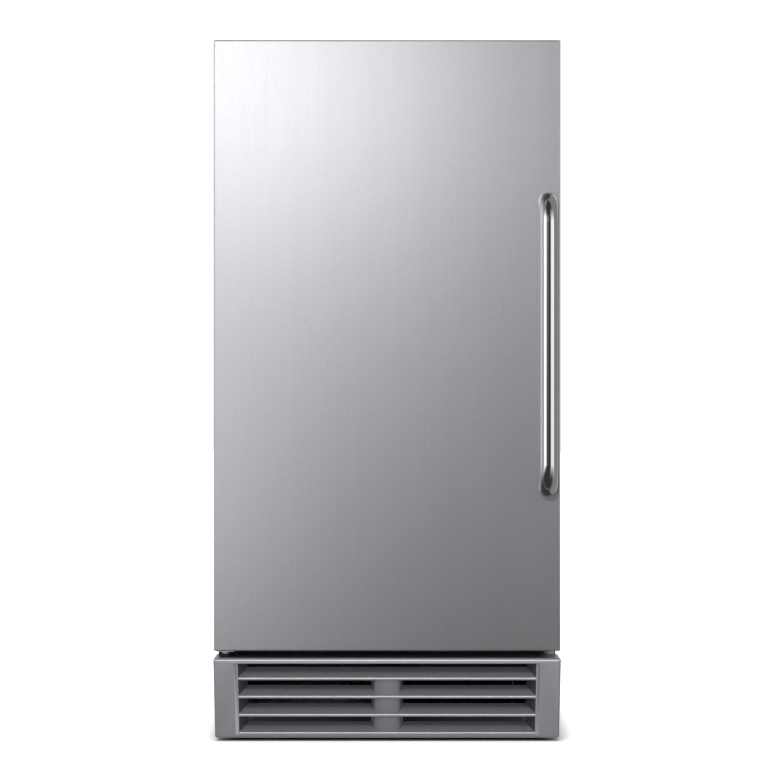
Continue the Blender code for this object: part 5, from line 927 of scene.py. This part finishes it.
# Door core
# Moulded caps close the folded skin at top and bottom and hold the hinge bores; foam fills it, and the
# vacuum-formed inner panel holds the magnetic gasket in a groove behind its raised ring.
GASKET = painted("grey_gasket", (0.15, 0.152, 0.156), 0.55, 0.02 * MM)
for node in ("door_top_cap", "door_bottom_cap"):
    refined(node, SHROUD, 0.5 * MM)
refined("door_foam", FOAM)
refined("door_inner_panel", LINER, 1.5 * MM, segments=3)
refined("door_gasket", GASKET, 1.5 * MM, segments=3)


# Door skin
# One sheet of stainless, brushed upright, folded round the foam on all four sides with tight bends.
HAIRLINE = (1.0, 1.0, 0.012)
STROKE = (1.0, 1.0, 0.3)


def brushed(name, colour, roughness, strength=1.0):
    """Metal brushed upright, with long hairlines among short strokes of the belt."""
    look = Look(name, colour, roughness, 1.0)
    grain = look.noise(1500.0, HAIRLINE, 3.0)
    strokes = look.noise(620.0, STROKE)
    drift = look.noise(60.0, HAIRLINE)
    mixed = grain * 0.35 + strokes * 0.5 + drift * 0.15
    look.shade(mixed, 1 - 0.14 * strength, 1 + 0.14 * strength)
    look.rough(grain, roughness - 0.03 * strength, roughness + 0.03 * strength)
    look.bump(grain, 0.02 * MM * strength, 0.3)
    return look


STAINLESS = brushed("brushed_stainless", (0.592, 0.606, 0.636), 0.351)
door_skin = refined("door_skin", STAINLESS)

# Door handle
# One 22 mm polished stainless tube, bent back to the door at both ends and screwed on from inside.
POLISHED = brushed("polished_stainless", (0.73, 0.735, 0.74), 0.11, strength=0.5)
HANDLE_BEND = 30 * MM
HANDLE_SIDES = 64
handle_low, handle_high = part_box("door_handle")
handle_radius = 0.5 * (handle_high[0] - handle_low[0])
bar_x = 0.5 * (handle_low[0] + handle_high[0])
bar_y = handle_low[1] + handle_radius
door_y = handle_high[1]
low_z, high_z = handle_low[2] + handle_radius, handle_high[2] - handle_radius
path = [(bar_x, door_y, low_z), (bar_x, bar_y, low_z), (bar_x, bar_y, high_z), (bar_x, door_y, high_z)]
handle = swept(
    "door_handle_tube", path, handle_radius, HANDLE_BEND, HANDLE_SIDES, POLISHED, "door"
)
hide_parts("door_handle")
handle.visible_glossy = False
for node in ("handle_screw_top", "handle_screw_bottom"):
    refined(node, SCREW_ZINC, 0.2 * MM)


# Flags
# Flags on stands keep each lamp to its own work: the door's glow stays off the grille and the handle, and the
# grille's lamps stay off the door.
def flagged(lamp, state, *pieces):
    """This lamp is kept off these pieces, or off everything but these pieces."""
    group = bpy.data.collections.new(f"{lamp.name}_flag")
    for piece in pieces:
        group.objects.link(piece)
    lamp.light_linking.receiver_collection = group
    for entry in group.collection_objects:
        entry.light_linking.link_state = state


flagged(glow_lamp, "EXCLUDE", handle, grille, grille_lips, post, *low_pipes)
flagged(overhead_lamp, "EXCLUDE", handle, door_skin, grille, post, *low_pipes)
flagged(lip_lamp, "INCLUDE", grille, grille_lips, post)
flagged(grille_lamp, "INCLUDE", grille, grille_lips, post, door_plate, bracket)
flagged(low_lamp, "INCLUDE", door_skin)
